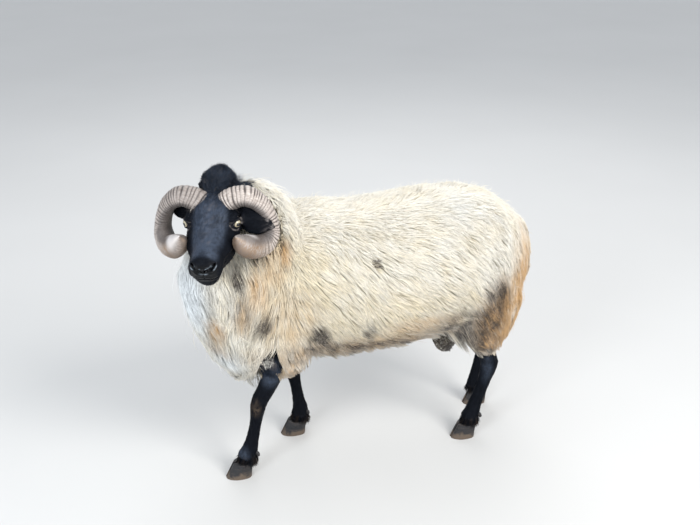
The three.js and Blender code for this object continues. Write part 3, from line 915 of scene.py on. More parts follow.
def comb(ground, triangles, weights, lie, reach, lift, steps, rise, turn, least=0.6):
    """Leads each lock from its root along the skin. Gives its middle line and normals there."""
    place = ground.mixed(ground.points, triangles, weights)
    normal = unit(ground.mixed(ground.normals, triangles, weights))
    line, outs = [place - normal * 1.5 * MM * (steps > 2)], [normal]
    for i in range(steps):
        ahead = laid(lie(place), normal, turn)
        under, shares = ground.below(place + ahead * (reach / steps)[:, None])
        place = ground.mixed(ground.points, under, shares)
        normal = unit(ground.mixed(ground.normals, under, shares))
        depth = ground.mixed(ground.values["depth"], under, shares)
        line.append(place + normal * (np.maximum(depth, least * MM) * lift * rise[i])[:, None])
        outs.append(normal)
    return np.stack(line, 1), np.stack(outs, 1)


def staples(roots, chance, spacing):
    """For each lock, the nearest of a few chosen locks, which leads its staple."""
    count = max(8, int(len(roots) / spacing))
    chiefs = np.sort(chance.choice(len(roots), count, replace=False))
    tree = KDTree(count)
    for i, chief in enumerate(chiefs):
        tree.insert(roots[chief], i)
    tree.balance()
    return chiefs[[tree.find(root)[1] for root in roots.tolist()]]


def gather(line, chief, pull):
    """Draws the locks of each staple together, more and more towards their tips."""
    for k, share in enumerate(pull, 1):
        line[:, k] += share * (line[chief, k] - line[:, k])


def strand_mesh(name, line, outs, width, flat, soft, uv, values):
    """One mesh of closed three-sided locks. width has a column for each ring but the tip.

    soft is how much of each lock's shading follows the coat instead of the lock's own sides. A value has
    one number for each lock, or a row with one for each ring and the tip.
    """
    count, rings = len(line), line.shape[1] - 1
    ahead = unit(np.diff(line, axis=1))
    ahead = unit(np.concatenate([ahead[:, :1], ahead[:, :-1] + ahead[:, 1:]], 1))
    across = unit(np.cross(outs[:, :-1], ahead))
    above = np.cross(ahead, across)
    angles = np.radians((90, 210, 330))
    ring = (line[:, :-1, None] + width[:, :, None, None] / 2 * (
        np.cos(angles)[:, None] * across[:, :, None]
        + flat * np.sin(angles)[:, None] * above[:, :, None]))
    points = np.concatenate([ring.reshape(count, -1, 3), line[:, -1:]], 1)
    each = 3 * rings + 1
    faces = [(0, 2, 1)]
    for k in range(rings - 1):
        for j in range(3):
            a, b = 3 * k + j, 3 * k + (j + 1) % 3
            faces += [(a, b, b + 3), (a, b + 3, a + 3)]
    last = 3 * (rings - 1)
    faces += [(last + j, last + (j + 1) % 3, each - 1) for j in range(3)]
    corners = (np.array(faces)[None] + each * np.arange(count)[:, None, None]).reshape(-1, 3)
    mesh = bpy.data.meshes.new(name)
    mesh.vertices.add(count * each)
    mesh.vertices.foreach_set("co", points.astype(np.float32).ravel())
    mesh.loops.add(corners.size)
    mesh.loops.foreach_set("vertex_index", corners.astype(np.int32).ravel())
    mesh.polygons.add(len(corners))
    mesh.polygons.foreach_set("loop_start", np.arange(0, corners.size, 3, dtype=np.int32))
    mesh.update(calc_edges=True)
    mesh.shade_smooth()
    own = unit(ring - line[:, :-1, None])
    shaded = (1 - soft) * own + soft * outs[:, :-1, None]
    shaded = unit(np.concatenate([shaded.reshape(count, -1, 3), outs[:, -1:]], 1).reshape(-1, 3))
    give_vectors(mesh, "custom_normal", shaded)
    along = np.append(np.repeat(np.arange(rings) / rings, 3), 1.0)
    round_it = np.append(np.tile((0.0, 0.5, 1.0), rings), 0.5)
    patch = np.stack([along - 0.5, round_it - 0.5], 1) * OFBAKE_PATCH
    places = np.clip(uv[:, None] + patch[None], 0, 1).reshape(-1, 2)
    held = mesh.uv_layers.new(name="OFBake")
    held.data.foreach_set("uv", places[corners.ravel()].astype(np.float32).ravel())
    give_values(mesh, along=np.tile(along, count))
    for key, column in values.items():
        rows = np.broadcast_to(column.reshape(count, -1), (count, rings + 1))
        rows = np.hstack([np.repeat(rows[:, :-1], 3, axis=1), rows[:, -1:]])
        give_values(mesh, **{key: rows.ravel()})
    piece = bpy.data.objects.new(name, mesh)
    bpy.context.scene.collection.objects.link(piece)
    return piece


def thinner():
    return 1


OFBAKE_PATCH = 0.003  # the side of each lock's patch in its unwrap
MOST_TRIANGLES = 195000  # in one piece of the coat
TOPKNOT_LOCKS = 8600
HOOF_TOP_LOCKS = 3600
MANE_START = 0.17  # where the long locks of neck and chest begin
LEAST_COAT = 6.0  # millimetres of height that a full lock has over the thinnest skin
HORN_CLEARANCE = 4  # millimetres that locks behind the horns keep above the skin
CURL_TRIM = 0.55  # the share cut from locks that would reach into a horn's curl


def in_curl(places):
    """Whether each place is in the room of the face, ears and horns, where no wool reaches."""
    x, y, z = to_head(places).T
    width = np.abs(y)
    return ((x > -46) & (width > 40) & (width < 150) & (z > -88) & (z < 40)) | (
        (x > -62) & (width <= 40) & (z > -86))


def fleece_region(places):
    """Which piece of the fleece each root belongs to."""
    x, y, z = places.T
    name = np.where(y > 0, "fleece_side_left", "fleece_side_right").astype(object)
    rear = x < -0.06
    name[rear] = np.where(y > 0, "fleece_thigh_left", "fleece_thigh_right")[rear]
    name[x < -0.30] = "fleece_rump"
    name[(z > 0.575) & (x >= -0.30)] = "fleece_back"
    name[x > MANE_START] = "fleece_neck_right"
    name[(x > MANE_START) & (y > 0.02)] = "fleece_neck_left"
    name[(x > MANE_START) & (z < 0.43)] = "fleece_breast"
    return name


FLEECE_NODES = {
    "fleece_side_left": ("trunk", "fore_upper_left"),
    "fleece_side_right": ("trunk", "fore_upper_right"),
    "fleece_thigh_left": ("trunk", "hind_upper_left"),
    "fleece_thigh_right": ("trunk", "hind_upper_right"),
    "fleece_rump": ("trunk", "tail", "hind_upper_left", "hind_upper_right"),
    "fleece_back": ("trunk",),
    "fleece_neck_left": ("neck",),
    "fleece_neck_right": ("neck",),
    "fleece_breast": ("neck", "fore_upper_left", "fore_upper_right"),
}


def build_fleece(ground):
    """The long wool of trunk, neck, tail and upper legs, in locks that overlap backwards."""
    sizes = bpy.context.scene.ram_coat
    woolly = ground.values["woolly"][ground.corners].mean(1)
    black = ground.values["dark"][ground.corners].mean(1)
    wanted = (woolly > 0.55) & (black < 0.5)
    fore = ground.middle[:, 0] > MANE_START
    for order, (chosen, share, steps) in enumerate(((fore, 0.33, 3), (~fore, 0.67, 2))):
        chance = np.random.default_rng(sizes.seed + 100 * order)
        count = int(sizes.body_locks * share) // thinner()
        build_wool(ground, chance, count, wanted & chosen, steps)


def build_wool(ground, chance, count, wanted, steps):
    """One part of the fleece, in locks of so many steps."""
    sizes = bpy.context.scene.ram_coat
    triangles, weights = ground.scatter(chance, count, wanted)
    roots = ground.mixed(ground.points, triangles, weights)
    depth = ground.mixed(ground.values["depth"], triangles, weights)
    x, y, z = roots.T
    mane = smooth(0.17, 0.29, x)
    high = smooth(0.56, 0.66, z) * (1 - mane)
    shaggy = np.clip(0.75 * mane + smooth(0.46, 0.34, z), 0, 1) * (1 - high)
    reach = sizes.lock_length * (1 - mane) + sizes.mane_length * mane
    reach = reach * (1 - 0.45 * smooth(0.36, 0.30, z) * (np.abs(y) > 0.04)) * (1 - 0.3 * high)
    reach = reach * (0.35 + 0.65 * smooth(0.003, 0.012, depth))
    reach = reach * (1 + 0.12 * tuftiness(roots)) * chance.uniform(0.75, 1.2, count)
    turn = 0.11 * swirl(roots) + (0.10 + 0.08 * high) * eddy(roots) + chance.normal(0, 0.12, count)
    lift = chance.uniform(0.66, 1.03, count) * (1 + 0.05 * tuftiness(roots))
    chief, staple = staples(roots, chance, 11), staples(roots, chance, 52)
    own = chance.normal(0, 1, (3, count))[:, staple] * shaggy
    lift *= np.clip(1 + 0.20 * own[0], 0.55, 1.5)
    turn += 0.13 * own[1]
    reach *= 1 + 0.10 * own[2]
    hem = smooth(0.385, 0.345, z) * (1 - 0.4 * mane) * chance.uniform(0.3, 1.2, count)[staple]
    fold = spots(roots, FOLDS)
    reach *= 1 + 0.25 * hem + 0.35 * fold
    nape = smooth(0.70, 0.76, z) * (x > 0.16)
    loose = chance.random(count) < 0.02 + 0.05 * high + 0.22 * nape
    lift[loose] *= chance.uniform(1.2, 2.1, count)[loose]
    turn[loose] += chance.normal(0, 0.4, count)[loose]
    burr = off_burr(roots, y) < BURR_REACH
    reach[burr], lift[burr] = 0.010, 1.25
    far = np.arange(1, steps + 1) / steps
    line, outs = comb(ground, triangles, weights, lie_of_wool, reach, lift, steps,
                      1 - 0.78 * (1 - far) ** 2, turn, LEAST_COAT)
    line[:, 1:] += chance.normal(0, 1, (count, steps, 3)) * (1.4 * far)[:, None] * MM
    drop = ((0.6 + 0.6 * fold) * reach)[:, None] * far
    hanging = roots[:, None] + drop[..., None] * np.array((-0.42, 0, -0.9))
    share = np.clip(0.75 * hem + 0.9 * fold, 0, 0.9)[:, None, None]
    line[:, 1:] += share * (hanging - line[:, 1:])
    held = ((1 - 0.6 * high) * ~loose * ~burr)[:, None]
    gather(line, chief, [0.42 * part * held for part in far])
    shaggy = (shaggy * ~loose)[:, None]
    gather(line, staple, [0.46 * part ** 1.4 * shaggy for part in far])
    near_horns = np.flatnonzero((x > MANE_START) & (z > 0.58))
    for k in range(1, steps + 1) if len(near_horns) else ():
        line[near_horns, k] = ground.raised(line[near_horns, k], HORN_CLEARANCE * MM)
    blocked = in_curl(line[:, 1]) | in_curl(line[:, 2])
    line[blocked] -= CURL_TRIM * (line[blocked] - line[blocked, :1])
    over_burr = off_burr(line[:, 1:], y[:, None]).min(1)
    width = np.linspace(1.1, 0.85, steps)[None] * sizes.lock_width
    width = width * chance.uniform(0.5, 1.3, (count, 1)) * math.sqrt(thinner())
    width[loose] *= 0.6
    width[burr] *= 1.6
    streak = chance.uniform(0, 1, (3, count))
    streak = 0.45 * streak[0, chief] + 0.30 * streak[1, staple] + 0.25 * streak[2]
    rows = [markings(line[:, k], np.clip(1.35 * streak - 0.17, 0, 1)) for k in range(steps + 1)]
    values = {key: np.stack([row[key] for row in rows], 1) for key in rows[0]}
    values["soil"][burr] = 1
    values["tint"] = chance.uniform(0, 1, count)
    uv = ground.unwrapped(triangles, weights)
    inside = MANE_START + 1e-6 if steps > 2 else MANE_START
    limit = np.maximum if steps > 2 else np.minimum
    region = fleece_region(np.column_stack([limit(roots[:, 0], inside), roots[:, 1:]]))
    region[spots(line[:, 2], LEG_TOPS) > LEG_SHOWS] = "none"
    region[(over_burr < BURR_REACH) & ~burr] = "none"
    for name, nodes in FLEECE_NODES.items():
        held = np.flatnonzero(region == name)
        held = held[np.argsort(roots[held, 1], kind="stable")]
        parts = -(-len(held) * (6 * steps - 2) // MOST_TRIANGLES)
        for part, chosen in enumerate(np.array_split(held, parts) if parts else (), 1):
            piece = strand_mesh(f"{name}_{part}", line[chosen], outs[chosen], width[chosen], 0.7, 0.5,
                                uv[chosen], {key: value[chosen] for key, value in values.items()})
            finished(piece, finish("ram_wool", wool_finish), "fleece", *nodes)
            print(piece.name, len(chosen), "locks")


def build_topknot(ground):
    """Black wool that stands on the poll, with pale wisps where it meets the fleece."""
    chance = np.random.default_rng(bpy.context.scene.ram_coat.seed + 1)
    count = TOPKNOT_LOCKS // thinner()
    head = to_head(ground.middle)
    dark = ground.values["dark"][ground.corners].mean(1)
    hairy = 1 - ground.values["woolly"][ground.corners].mean(1)
    on_poll = (head[:, 0] < -40) & (head[:, 0] > -150) & (head[:, 2] > 6) & (dark > 0.4)
    wanted = on_poll * np.where(hairy > 0.5, 0.35, 1.0)
    triangles, weights = ground.scatter(chance, count, wanted)
    roots = ground.mixed(ground.points, triangles, weights)
    crown = from_head((-78, 6, -10))

    def skirt(places):
        across, up = to_head(places).T[1:]
        return smooth(16, 36, np.abs(across)) * smooth(64, 34, up)

    def outwards(places):
        away = unit(places - crown)
        return away + np.array((-0.25, -0.1, 0.5)) * (1 - 1.3 * skirt(places))[:, None]

    reach = chance.uniform(0.016, 0.034, count) * (1 + 0.75 * skirt(roots))
    turn = 0.5 * eddy(roots) + chance.normal(0, 0.5, count)
    lift = chance.uniform(0.60, 0.98, count)
    line, outs = comb(ground, triangles, weights, outwards, reach, lift, 3, (0.7, 1.0, 1.04), turn)
    line[:, 3] += outs[:, 3] * chance.uniform(0, 0.006, count)[:, None]
    line[:, 1:] += chance.normal(0, 1, (count, 3, 3)) * np.array((0.8, 1.6, 2.6))[:, None] * MM
    gather(line, staples(roots, chance, 9), (0.15, 0.35, 0.5))
    width = np.array((1.0, 0.9, 0.6))[None] * 0.0011 * chance.uniform(0.6, 1.4, (count, 1))
    place = to_head(line[:, 3])
    far = smooth(-18, -62, place[:, 1]) * smooth(0, 25, place[:, 2])
    pale = np.clip(far * chance.uniform(0.2, 1.2, count) + 0.25 * (chance.random(count) < 0.06), 0, 1)
    uv = ground.unwrapped(triangles, weights)
    piece = strand_mesh("topknot_wool", line, outs, width, 0.8, 0.35, uv,
                        {"tint": chance.uniform(0, 1, count), "pale": pale,
                         "bloom": bloom_of(line[:, 2])})
    finished(piece, finish("ram_black_hair", hair_finish), "dark_wool", "topknot")


def lie_of_hair(places):
    """Which way short hair runs: back along the head, out along the ears, down the legs."""
    head = to_head(places)
    x, y, z = head.T
    on_head = smooth(0.40, 0.47, places[:, 2])[:, None]
    ear = smooth(62, 72, np.abs(y))[:, None]
    back = np.stack([np.full(len(x), -1.0), 0.25 * np.sign(y), -0.25 - 0.35 * smooth(20, -30, z)], 1)
    out = np.stack([-0.3 + 0 * x, np.sign(y), -0.1 + 0 * x], 1)
    return (on_head * ((1 - ear) * back + ear * out) @ HEAD_AXES.T
            + (1 - on_head) * np.array((-0.15, 0.0, -1.0)))


def build_short_hair(ground):
    """Short black hair on face, ears and legs, finest round the muzzle and eyes."""
    sizes = bpy.context.scene.ram_coat
    chance = np.random.default_rng(sizes.seed + 2)
    count = sizes.face_hairs // thinner()
    middle = ground.middle
    head = to_head(middle)
    hairy = 1 - ground.values["woolly"][ground.corners].mean(1)
    bare = wetness(middle)
    for side in SIDES.values():
        bare = np.maximum(bare, smooth(24, 19, np.linalg.norm(head - eye_at(side), axis=1)))
    on_head = middle[:, 2] > HEAD_HEIGHT
    wanted = (hairy > 0.6) * (bare < 0.3) * np.where(on_head, 1.0, 0.8)
    triangles, weights = ground.scatter(chance, count, wanted)
    roots = ground.mixed(ground.points, triangles, weights)
    place = to_head(roots)
    of_head = roots[:, 2] > HEAD_HEIGHT
    fine = smooth(20, 110, place[:, 0]) * of_head
    reach = (0.010 - 0.005 * fine) * chance.uniform(0.7, 1.2, count)
    reach = reach * np.where(of_head, 1.0, 1.15)
    turn = 0.25 * eddy(roots) + chance.normal(0, 0.22, count)
    lift = chance.uniform(0.4, 1.0, count)
    line, outs = comb(ground, triangles, weights, lie_of_hair, reach, lift, 2, (0.8, 1.0), turn)
    line[:, 2] += outs[:, 2] * (chance.uniform(0, 1.0, count) * (1 - 0.6 * fine) * MM)[:, None]
    width = np.array((0.9, 0.7))[None] * 0.0010 * chance.uniform(0.6, 1.3, (count, 1))
    width *= (1 - 0.4 * fine)[:, None]
    uv = ground.unwrapped(triangles, weights)
    values = {"tint": chance.uniform(0, 1, count), "pale": paleness(roots),
              "bloom": bloom_of(roots), "mud": muddiness(roots)}
    for name, chosen, nodes in (
            ("short_hair_head", of_head, ("head", "jaw", "ear_left", "ear_right")),
            ("short_hair_legs", ~of_head, SHANKS)):
        piece = strand_mesh(name, line[chosen], outs[chosen], width[chosen], 0.7, 0.6, uv[chosen],
                            {key: value[chosen] for key, value in values.items()})
        finished(piece, finish("ram_black_hair", hair_finish), "black_hair", *nodes)


# ---- Materials.

class Nodes:
    """Adds nodes to a tree from short calls."""

    def __init__(self, tree):
        self.tree = tree
        tree.nodes.clear()

    def add(self, kind, inputs=None, **settings):
        node = self.tree.nodes.new(kind)
        for key, value in settings.items():
            setattr(node, key, value)
        for key, value in (inputs or {}).items():
            self.feed(node.inputs[key], value)
        return node

    def feed(self, socket, value):
        if isinstance(value, bpy.types.NodeSocket):
            self.tree.links.new(value, socket)
        elif hasattr(value, "__len__") and len(value) == 3 and socket.type == "RGBA":
            socket.default_value = (*value, 1)
        else:
            socket.default_value = value

    def math(self, operation, a, b=0.0, clamp=False):
        return self.add("ShaderNodeMath", {0: a, 1: b}, operation=operation, use_clamp=clamp).outputs[0]

    def mix(self, share, a, b, blend="MIX"):
        node = self.add("ShaderNodeMix", data_type="RGBA", blend_type=blend)
        self.feed(node.inputs[0], share)
        self.feed(node.inputs[6], a)
        self.feed(node.inputs[7], b)
        return node.outputs[2]

    def ease(self, value, low, high, to_low=0.0, to_high=1.0):
        return self.add("ShaderNodeMapRange", {
            "Value": value, "From Min": low, "From Max": high, "To Min": to_low, "To Max": to_high,
        }, interpolation_type="SMOOTHSTEP").outputs["Result"]

    def value_of(self, name):
        return self.add("ShaderNodeAttribute", attribute_name=name).outputs["Fac"]

    def place(self, name=None):
        if name:
            return self.add("ShaderNodeAttribute", attribute_name=name).outputs["Vector"]
        return self.add("ShaderNodeTexCoord").outputs["Object"]

    def noise(self, place, scale, detail=3.0, roughness=0.55, stretch=None):
        if stretch:
            place = self.add("ShaderNodeMapping", {"Vector": place, "Scale": stretch}).outputs[0]
        return self.add("ShaderNodeTexNoise", {
            "Vector": place, "Scale": scale, "Detail": detail, "Roughness": roughness,
        }).outputs["Fac"]

    def bump(self, height, strength, distance, normal=None):
        node = self.add("ShaderNodeBump", {"Height": height, "Strength": strength,
                                           "Distance": distance})
        if normal:
            self.feed(node.inputs["Normal"], normal)
        return node.outputs["Normal"]


def group_of(name, inputs, outputs, wire):
    """A shader node group with named sockets, built once."""
    if name in bpy.data.node_groups:
        return bpy.data.node_groups[name]
    group = bpy.data.node_groups.new(name, "ShaderNodeTree")
    kinds = {"float": "NodeSocketFloat", "colour": "NodeSocketColor", "vector": "NodeSocketVector"}
    for label, kind in inputs.items():
        group.interface.new_socket(label, in_out="INPUT", socket_type=kinds[kind])
    for label, kind in outputs.items():
        group.interface.new_socket(label, in_out="OUTPUT", socket_type=kinds[kind])
    nodes = Nodes(group)
    entry = nodes.add("NodeGroupInput")
    leave = nodes.add("NodeGroupOutput")
    for label, value in wire(nodes, entry.outputs).items():
        nodes.feed(leave.inputs[label], value)
    return group


def wool_colours():
    """Colour of the fleece from its markings, its own tint and how near the tip it is, with shade painted
    darker towards the roots.
    """
    def wire(nodes, given):
        place = nodes.place()
        broad = nodes.noise(place, 9.0, 2.0)
        fine = nodes.noise(place, 160.0, 3.0)
        warm = nodes.math("ADD", given["Warm Share"], nodes.ease(broad, 0.4, 0.7, 0.0, 0.2))
        warm = nodes.math("ADD", warm, nodes.ease(given["Tint"], 0.4, 1.0, 0.0, 0.22))
        # Warmer towards the roots: grease, and a warm tint for the painted shade there.
        warm = nodes.math("ADD", warm, nodes.ease(given["Along"], 0.0, 0.5, 0.55, 0.0), clamp=True)
        clean = nodes.mix(warm, given["Wool"], given["Warm"])
        # Painted shade: wool mixed towards blue-white where sky shade is painted.
        clean = nodes.mix(given["Cool Share"], clean, given["Cool"])
        clean = nodes.mix(1.0, clean, nodes.ease(given["Tint"], 0.0, 0.9, 0.76, 1.0), "MULTIPLY")
        tanned = nodes.mix(given["Tan Share"], clean, given["Tan"])
        # Dark stains, and painted shade where the spots put it.
        dirt = nodes.math("MULTIPLY", given["Soil Share"], nodes.ease(fine, 0.25, 0.6, 0.6, 1.0))
        soiled = nodes.mix(dirt, tanned, given["Soil"])
        # Painted shade: wool darker deep in the coat, towards the roots.
        shade = nodes.ease(given["Along"], 0.0, 0.6, 0.78, 1.0)
        rooted = nodes.mix(1.0, soiled, shade, "MULTIPLY")
        return {"Colour": rooted}
    return group_of("wool_colours", {
        "Wool": "colour", "Warm": "colour", "Cool": "colour", "Tan": "colour", "Soil": "colour",
        "Warm Share": "float", "Cool Share": "float", "Tan Share": "float", "Soil Share": "float",
        "Tint": "float", "Along": "float"}, {"Colour": "colour"}, wire)


def hair_grain():
    """Fine grain of short hair that lies close."""
    def wire(nodes, given):
        strands = nodes.noise(given["Place"], 900.0, 2.0, 0.6, stretch=(0.22, 1.0, 1.0))
        tufts = nodes.noise(given["Place"], 150.0, 3.0, 0.6, stretch=(0.45, 1.0, 1.0))
        return {"Height": nodes.math("ADD", nodes.math("MULTIPLY", strands, 0.5), tufts)}
    return group_of("hair_grain", {"Place": "vector"}, {"Height": "float"}, wire)


def finish(name, wire):
    """The material of that name, wired the first time it is asked for."""
    held = bpy.data.materials.get(name)
    if held:
        return held
    material, nodes, shader = new_material(name)
    wire(nodes, shader, bpy.context.scene.ram_colours)
    return material


def new_material(name):
    """An empty material with one shader wired to its output."""
    material = bpy.data.materials.new(name)
    material.use_nodes = True
    nodes = Nodes(material.node_tree)
    shader = nodes.add("ShaderNodeBsdfPrincipled")
    nodes.add("ShaderNodeOutputMaterial", {"Surface": shader.outputs[0]})
    return material, nodes, shader


def wool_colour_in(nodes, colours):
    """The wool's colour, from the scene's colours and the piece's own markings."""
    group = nodes.add("ShaderNodeGroup", node_tree=wool_colours())
    for label, value in {
            "Wool": colours.wool[:], "Warm": colours.wool_warm[:], "Cool": colours.wool_cool[:],
            "Tan": colours.tan[:], "Soil": colours.soil[:], "Warm Share": nodes.value_of("warm"),
            "Cool Share": nodes.value_of("cool"), "Tan Share": nodes.value_of("tan"),
            "Soil Share": nodes.value_of("soil"), "Tint": nodes.value_of("tint"),
            "Along": nodes.value_of("along")}.items():
        nodes.feed(group.inputs[label], value)
    return group.outputs["Colour"]


WET_BLACK = (0.0018, 0.0022, 0.0032)
GLEAM_GREY = (0.32, 0.38, 0.44)
HOLLOW_BLACK = (0.0006, 0.0006, 0.0008)
SHEEN_BLUE = (0.55, 0.65, 0.9, 1)
# Painted light: the pale colour laid on the upward faces of a horn's end.
WORN_HORN = (0.82, 0.78, 0.76)
IRIS_FLECKS = (0.56, 0.50, 0.36)
IRIS_RIM = (0.022, 0.016, 0.013)
PUPIL_BLACK = (0.004, 0.004, 0.006)
PUPIL_HALF_LENGTH = 0.0058
PUPIL_HALF_HEIGHT = 0.0037
HOOF_LAYERS = (0.040, 0.033, 0.030)


def wool_finish(nodes, shader, colours):
    """Long wool."""
    nodes.feed(shader.inputs["Base Color"], wool_colour_in(nodes, colours))
    grain = nodes.noise(nodes.place(), 700.0, 2.0)
    nodes.feed(shader.inputs["Roughness"], nodes.ease(grain, 0.3, 0.7, 0.78, 0.95))
    shader.inputs["Specular IOR Level"].default_value = 0.2
    shader.inputs["Sheen Weight"].default_value = 0.2
    shader.inputs["Sheen Roughness"].default_value = 0.6


def hair_colour_in(nodes, colours, height):
    """Black hair with a blue sheen painted on its tufts, greyer where the pale value says so."""
    # Painted sheen: black mixed towards blue, most on the grain's raised tufts.
    share = nodes.math("MULTIPLY", nodes.math("ADD", nodes.value_of("bloom"), 0.06),
                       nodes.ease(height, 0.45, 1.0, 0.45, 1.25))
    bloom = nodes.mix(share, colours.hair[:], colours.bloom[:])
    grey = nodes.mix(nodes.ease(nodes.value_of("pale"), 0.0, 0.6), bloom, colours.grey_hair[:])
    light = nodes.mix(nodes.ease(nodes.value_of("pale"), 0.55, 1.0), grey, colours.wool[:])
    return nodes.mix(nodes.value_of("mud"), light, colours.mud[:])


def grain_in(nodes, place):
    """The grain of short hair at a place."""
    return nodes.add("ShaderNodeGroup", {"Place": place}, node_tree=hair_grain()).outputs["Height"]


def skin_finish(nodes, shader, colours):
    """Black hair on face and legs, and the wool's own ground where the fleece grows."""
    dark = nodes.ease(nodes.value_of("dark"), 0.35, 0.65)
    streaks = nodes.noise(nodes.place("flow_place"), 60.0, 4.0, 0.6)
    height = nodes.mix(dark, streaks, grain_in(nodes, nodes.place()))
    black = hair_colour_in(nodes, colours, height)
    black = nodes.mix(nodes.value_of("wet"), black, WET_BLACK)
    # Painted highlight: pale grey where the wet nose would shine.
    black = nodes.mix(nodes.value_of("gleam"), black, GLEAM_GREY)
    # Painted shade: the nostrils' openings near black and without reflection.
    black = nodes.mix(nodes.value_of("hollow"), black, HOLLOW_BLACK)
    dry_share = nodes.math("SUBTRACT", 1.0, nodes.value_of("hollow"))
    nodes.feed(shader.inputs["Base Color"], nodes.mix(dark, wool_colour_in(nodes, colours), black))
    wet = nodes.ease(nodes.value_of("wet"), 0.2, 0.8, 0.0, 0.20)
    dry = nodes.ease(height, 0.5, 1.1, 0.46, 0.66)
    rough = nodes.math("ADD", nodes.math("SUBTRACT", dry, wet),
                       nodes.math("MULTIPLY", nodes.value_of("hollow"), 0.5), clamp=True)
    nodes.feed(shader.inputs["Roughness"], rough)
    nodes.feed(shader.inputs["Normal"], nodes.bump(height, 0.35, 0.0012))
    shine = nodes.ease(nodes.value_of("bloom"), 0.0, 0.8, 0.05, 0.25)
    shine = nodes.math("ADD", shine, nodes.math("MULTIPLY", nodes.value_of("wet"), 0.12))
    nodes.feed(shader.inputs["Specular IOR Level"], nodes.math("MULTIPLY", shine, dry_share))
    shader.inputs["Sheen Weight"].default_value = 0.01
    shader.inputs["Sheen Tint"].default_value = SHEEN_BLUE


def hair_finish(nodes, shader, colours):
    """Single tufts of black hair and the black wool of the poll."""
    tint = nodes.math("ADD", nodes.math("MULTIPLY", nodes.value_of("tint"), 0.7), 0.35)
    nodes.feed(shader.inputs["Base Color"], hair_colour_in(nodes, colours, tint))
    nodes.feed(shader.inputs["Roughness"], nodes.ease(nodes.value_of("tint"), 0.0, 1.0, 0.5, 0.7))
    nodes.feed(shader.inputs["Specular IOR Level"],
               nodes.ease(nodes.value_of("bloom"), 0.0, 0.8, 0.04, 0.22))
    shader.inputs["Sheen Weight"].default_value = 0.01
    shader.inputs["Sheen Tint"].default_value = SHEEN_BLUE


def horn_finish(nodes, shader, colours):
    """Ringed horn: pale crests, dark grooves, amber where the tip is rubbed smooth, with painted shade and
    painted light over them.
    """
    place = nodes.place("horn_place")
    streaks = nodes.noise(place, 70.0, 4.0, 0.65, stretch=(1.6, 5.0, 5.0))
    fine = nodes.noise(place, 900.0, 3.0, 0.6, stretch=(0.3, 4.0, 4.0))
    bands = nodes.noise(place, 26.0, 2.0, 0.5)
    crest = nodes.math("ADD", nodes.value_of("crest"), nodes.ease(bands, 0.3, 0.7, -0.22, 0.24))
    pale = nodes.mix(nodes.ease(streaks, 0.3, 0.7), colours.horn[:], colours.horn_light[:])
    # Grooves darker: partly the horn's own colour and partly painted shade in the recesses.
    grooved = nodes.mix(nodes.ease(crest, 0.05, 0.9), colours.horn_groove[:], pale)
    rays = nodes.noise(place, 45.0, 4.0, 0.6, stretch=(9.0, 2.0, 2.0))
    amber = nodes.mix(nodes.ease(rays, 0.42, 0.66), colours.horn_amber[:], colours.horn[:])
    amber = nodes.mix(nodes.ease(crest, 0.10, 0.8, 0.7, 0.0), amber, colours.horn_groove[:])
    whole = nodes.mix(nodes.value_of("smooth_end"), grooved, amber)
    # Painted shade: the horn darker on its face towards the curl and over the right horn's first half.
    shaded = nodes.mix(nodes.value_of("inner"), whole, colours.horn_inner[:])
    # Painted light: upward faces of the horn's end made pale.
    worn = nodes.mix(nodes.value_of("pale_end"), shaded, WORN_HORN)
    # Painted shade: brown on the downward faces of the horn's end.
    under = nodes.math("MULTIPLY", nodes.value_of("underside"), nodes.ease(rays, 0.3, 0.6, 0.45, 1.0))
    worn = nodes.mix(under, worn, colours.horn_under[:])
    nodes.feed(shader.inputs["Base Color"], worn)
    nodes.feed(shader.inputs["Roughness"], nodes.ease(fine, 0.3, 0.7, 0.42, 0.62))
    nodes.feed(shader.inputs["Normal"], nodes.bump(fine, 0.4, 0.0006))


def eye_finish(nodes, shader, colours):
    """A pale iris with a level bar of a pupil, under a wet clear skin."""
    parts = nodes.add("ShaderNodeSeparateXYZ", {0: nodes.place("eye_place")}).outputs
    u, v = parts[0], parts[1]
    across = nodes.math("DIVIDE", nodes.math("ABSOLUTE", u), PUPIL_HALF_LENGTH)
    tall = nodes.math("DIVIDE", nodes.math("ABSOLUTE", v), PUPIL_HALF_HEIGHT)
    slot = nodes.math("ADD", nodes.math("POWER", across, 3.0), nodes.math("POWER", tall, 3.0))
    ring = nodes.math("SQRT", nodes.math("ADD", nodes.math("MULTIPLY", u, u),
                                         nodes.math("MULTIPLY", v, v)))
    rays = nodes.noise(nodes.place("eye_place"), 700.0, 3.0, 0.6, stretch=(1.6, 0.5, 1.0))
    iris = nodes.mix(nodes.ease(rays, 0.3, 0.7), colours.iris[:], IRIS_FLECKS)
    iris = nodes.mix(nodes.ease(ring, 0.0074, 0.0098), iris, IRIS_RIM)
    colour = nodes.mix(nodes.ease(slot, 0.75, 1.25), PUPIL_BLACK, iris)
    nodes.feed(shader.inputs["Base Color"], colour)
    shader.inputs["Roughness"].default_value = 0.22
    shader.inputs["Coat Weight"].default_value = 1.0
    shader.inputs["Coat Roughness"].default_value = 0.03


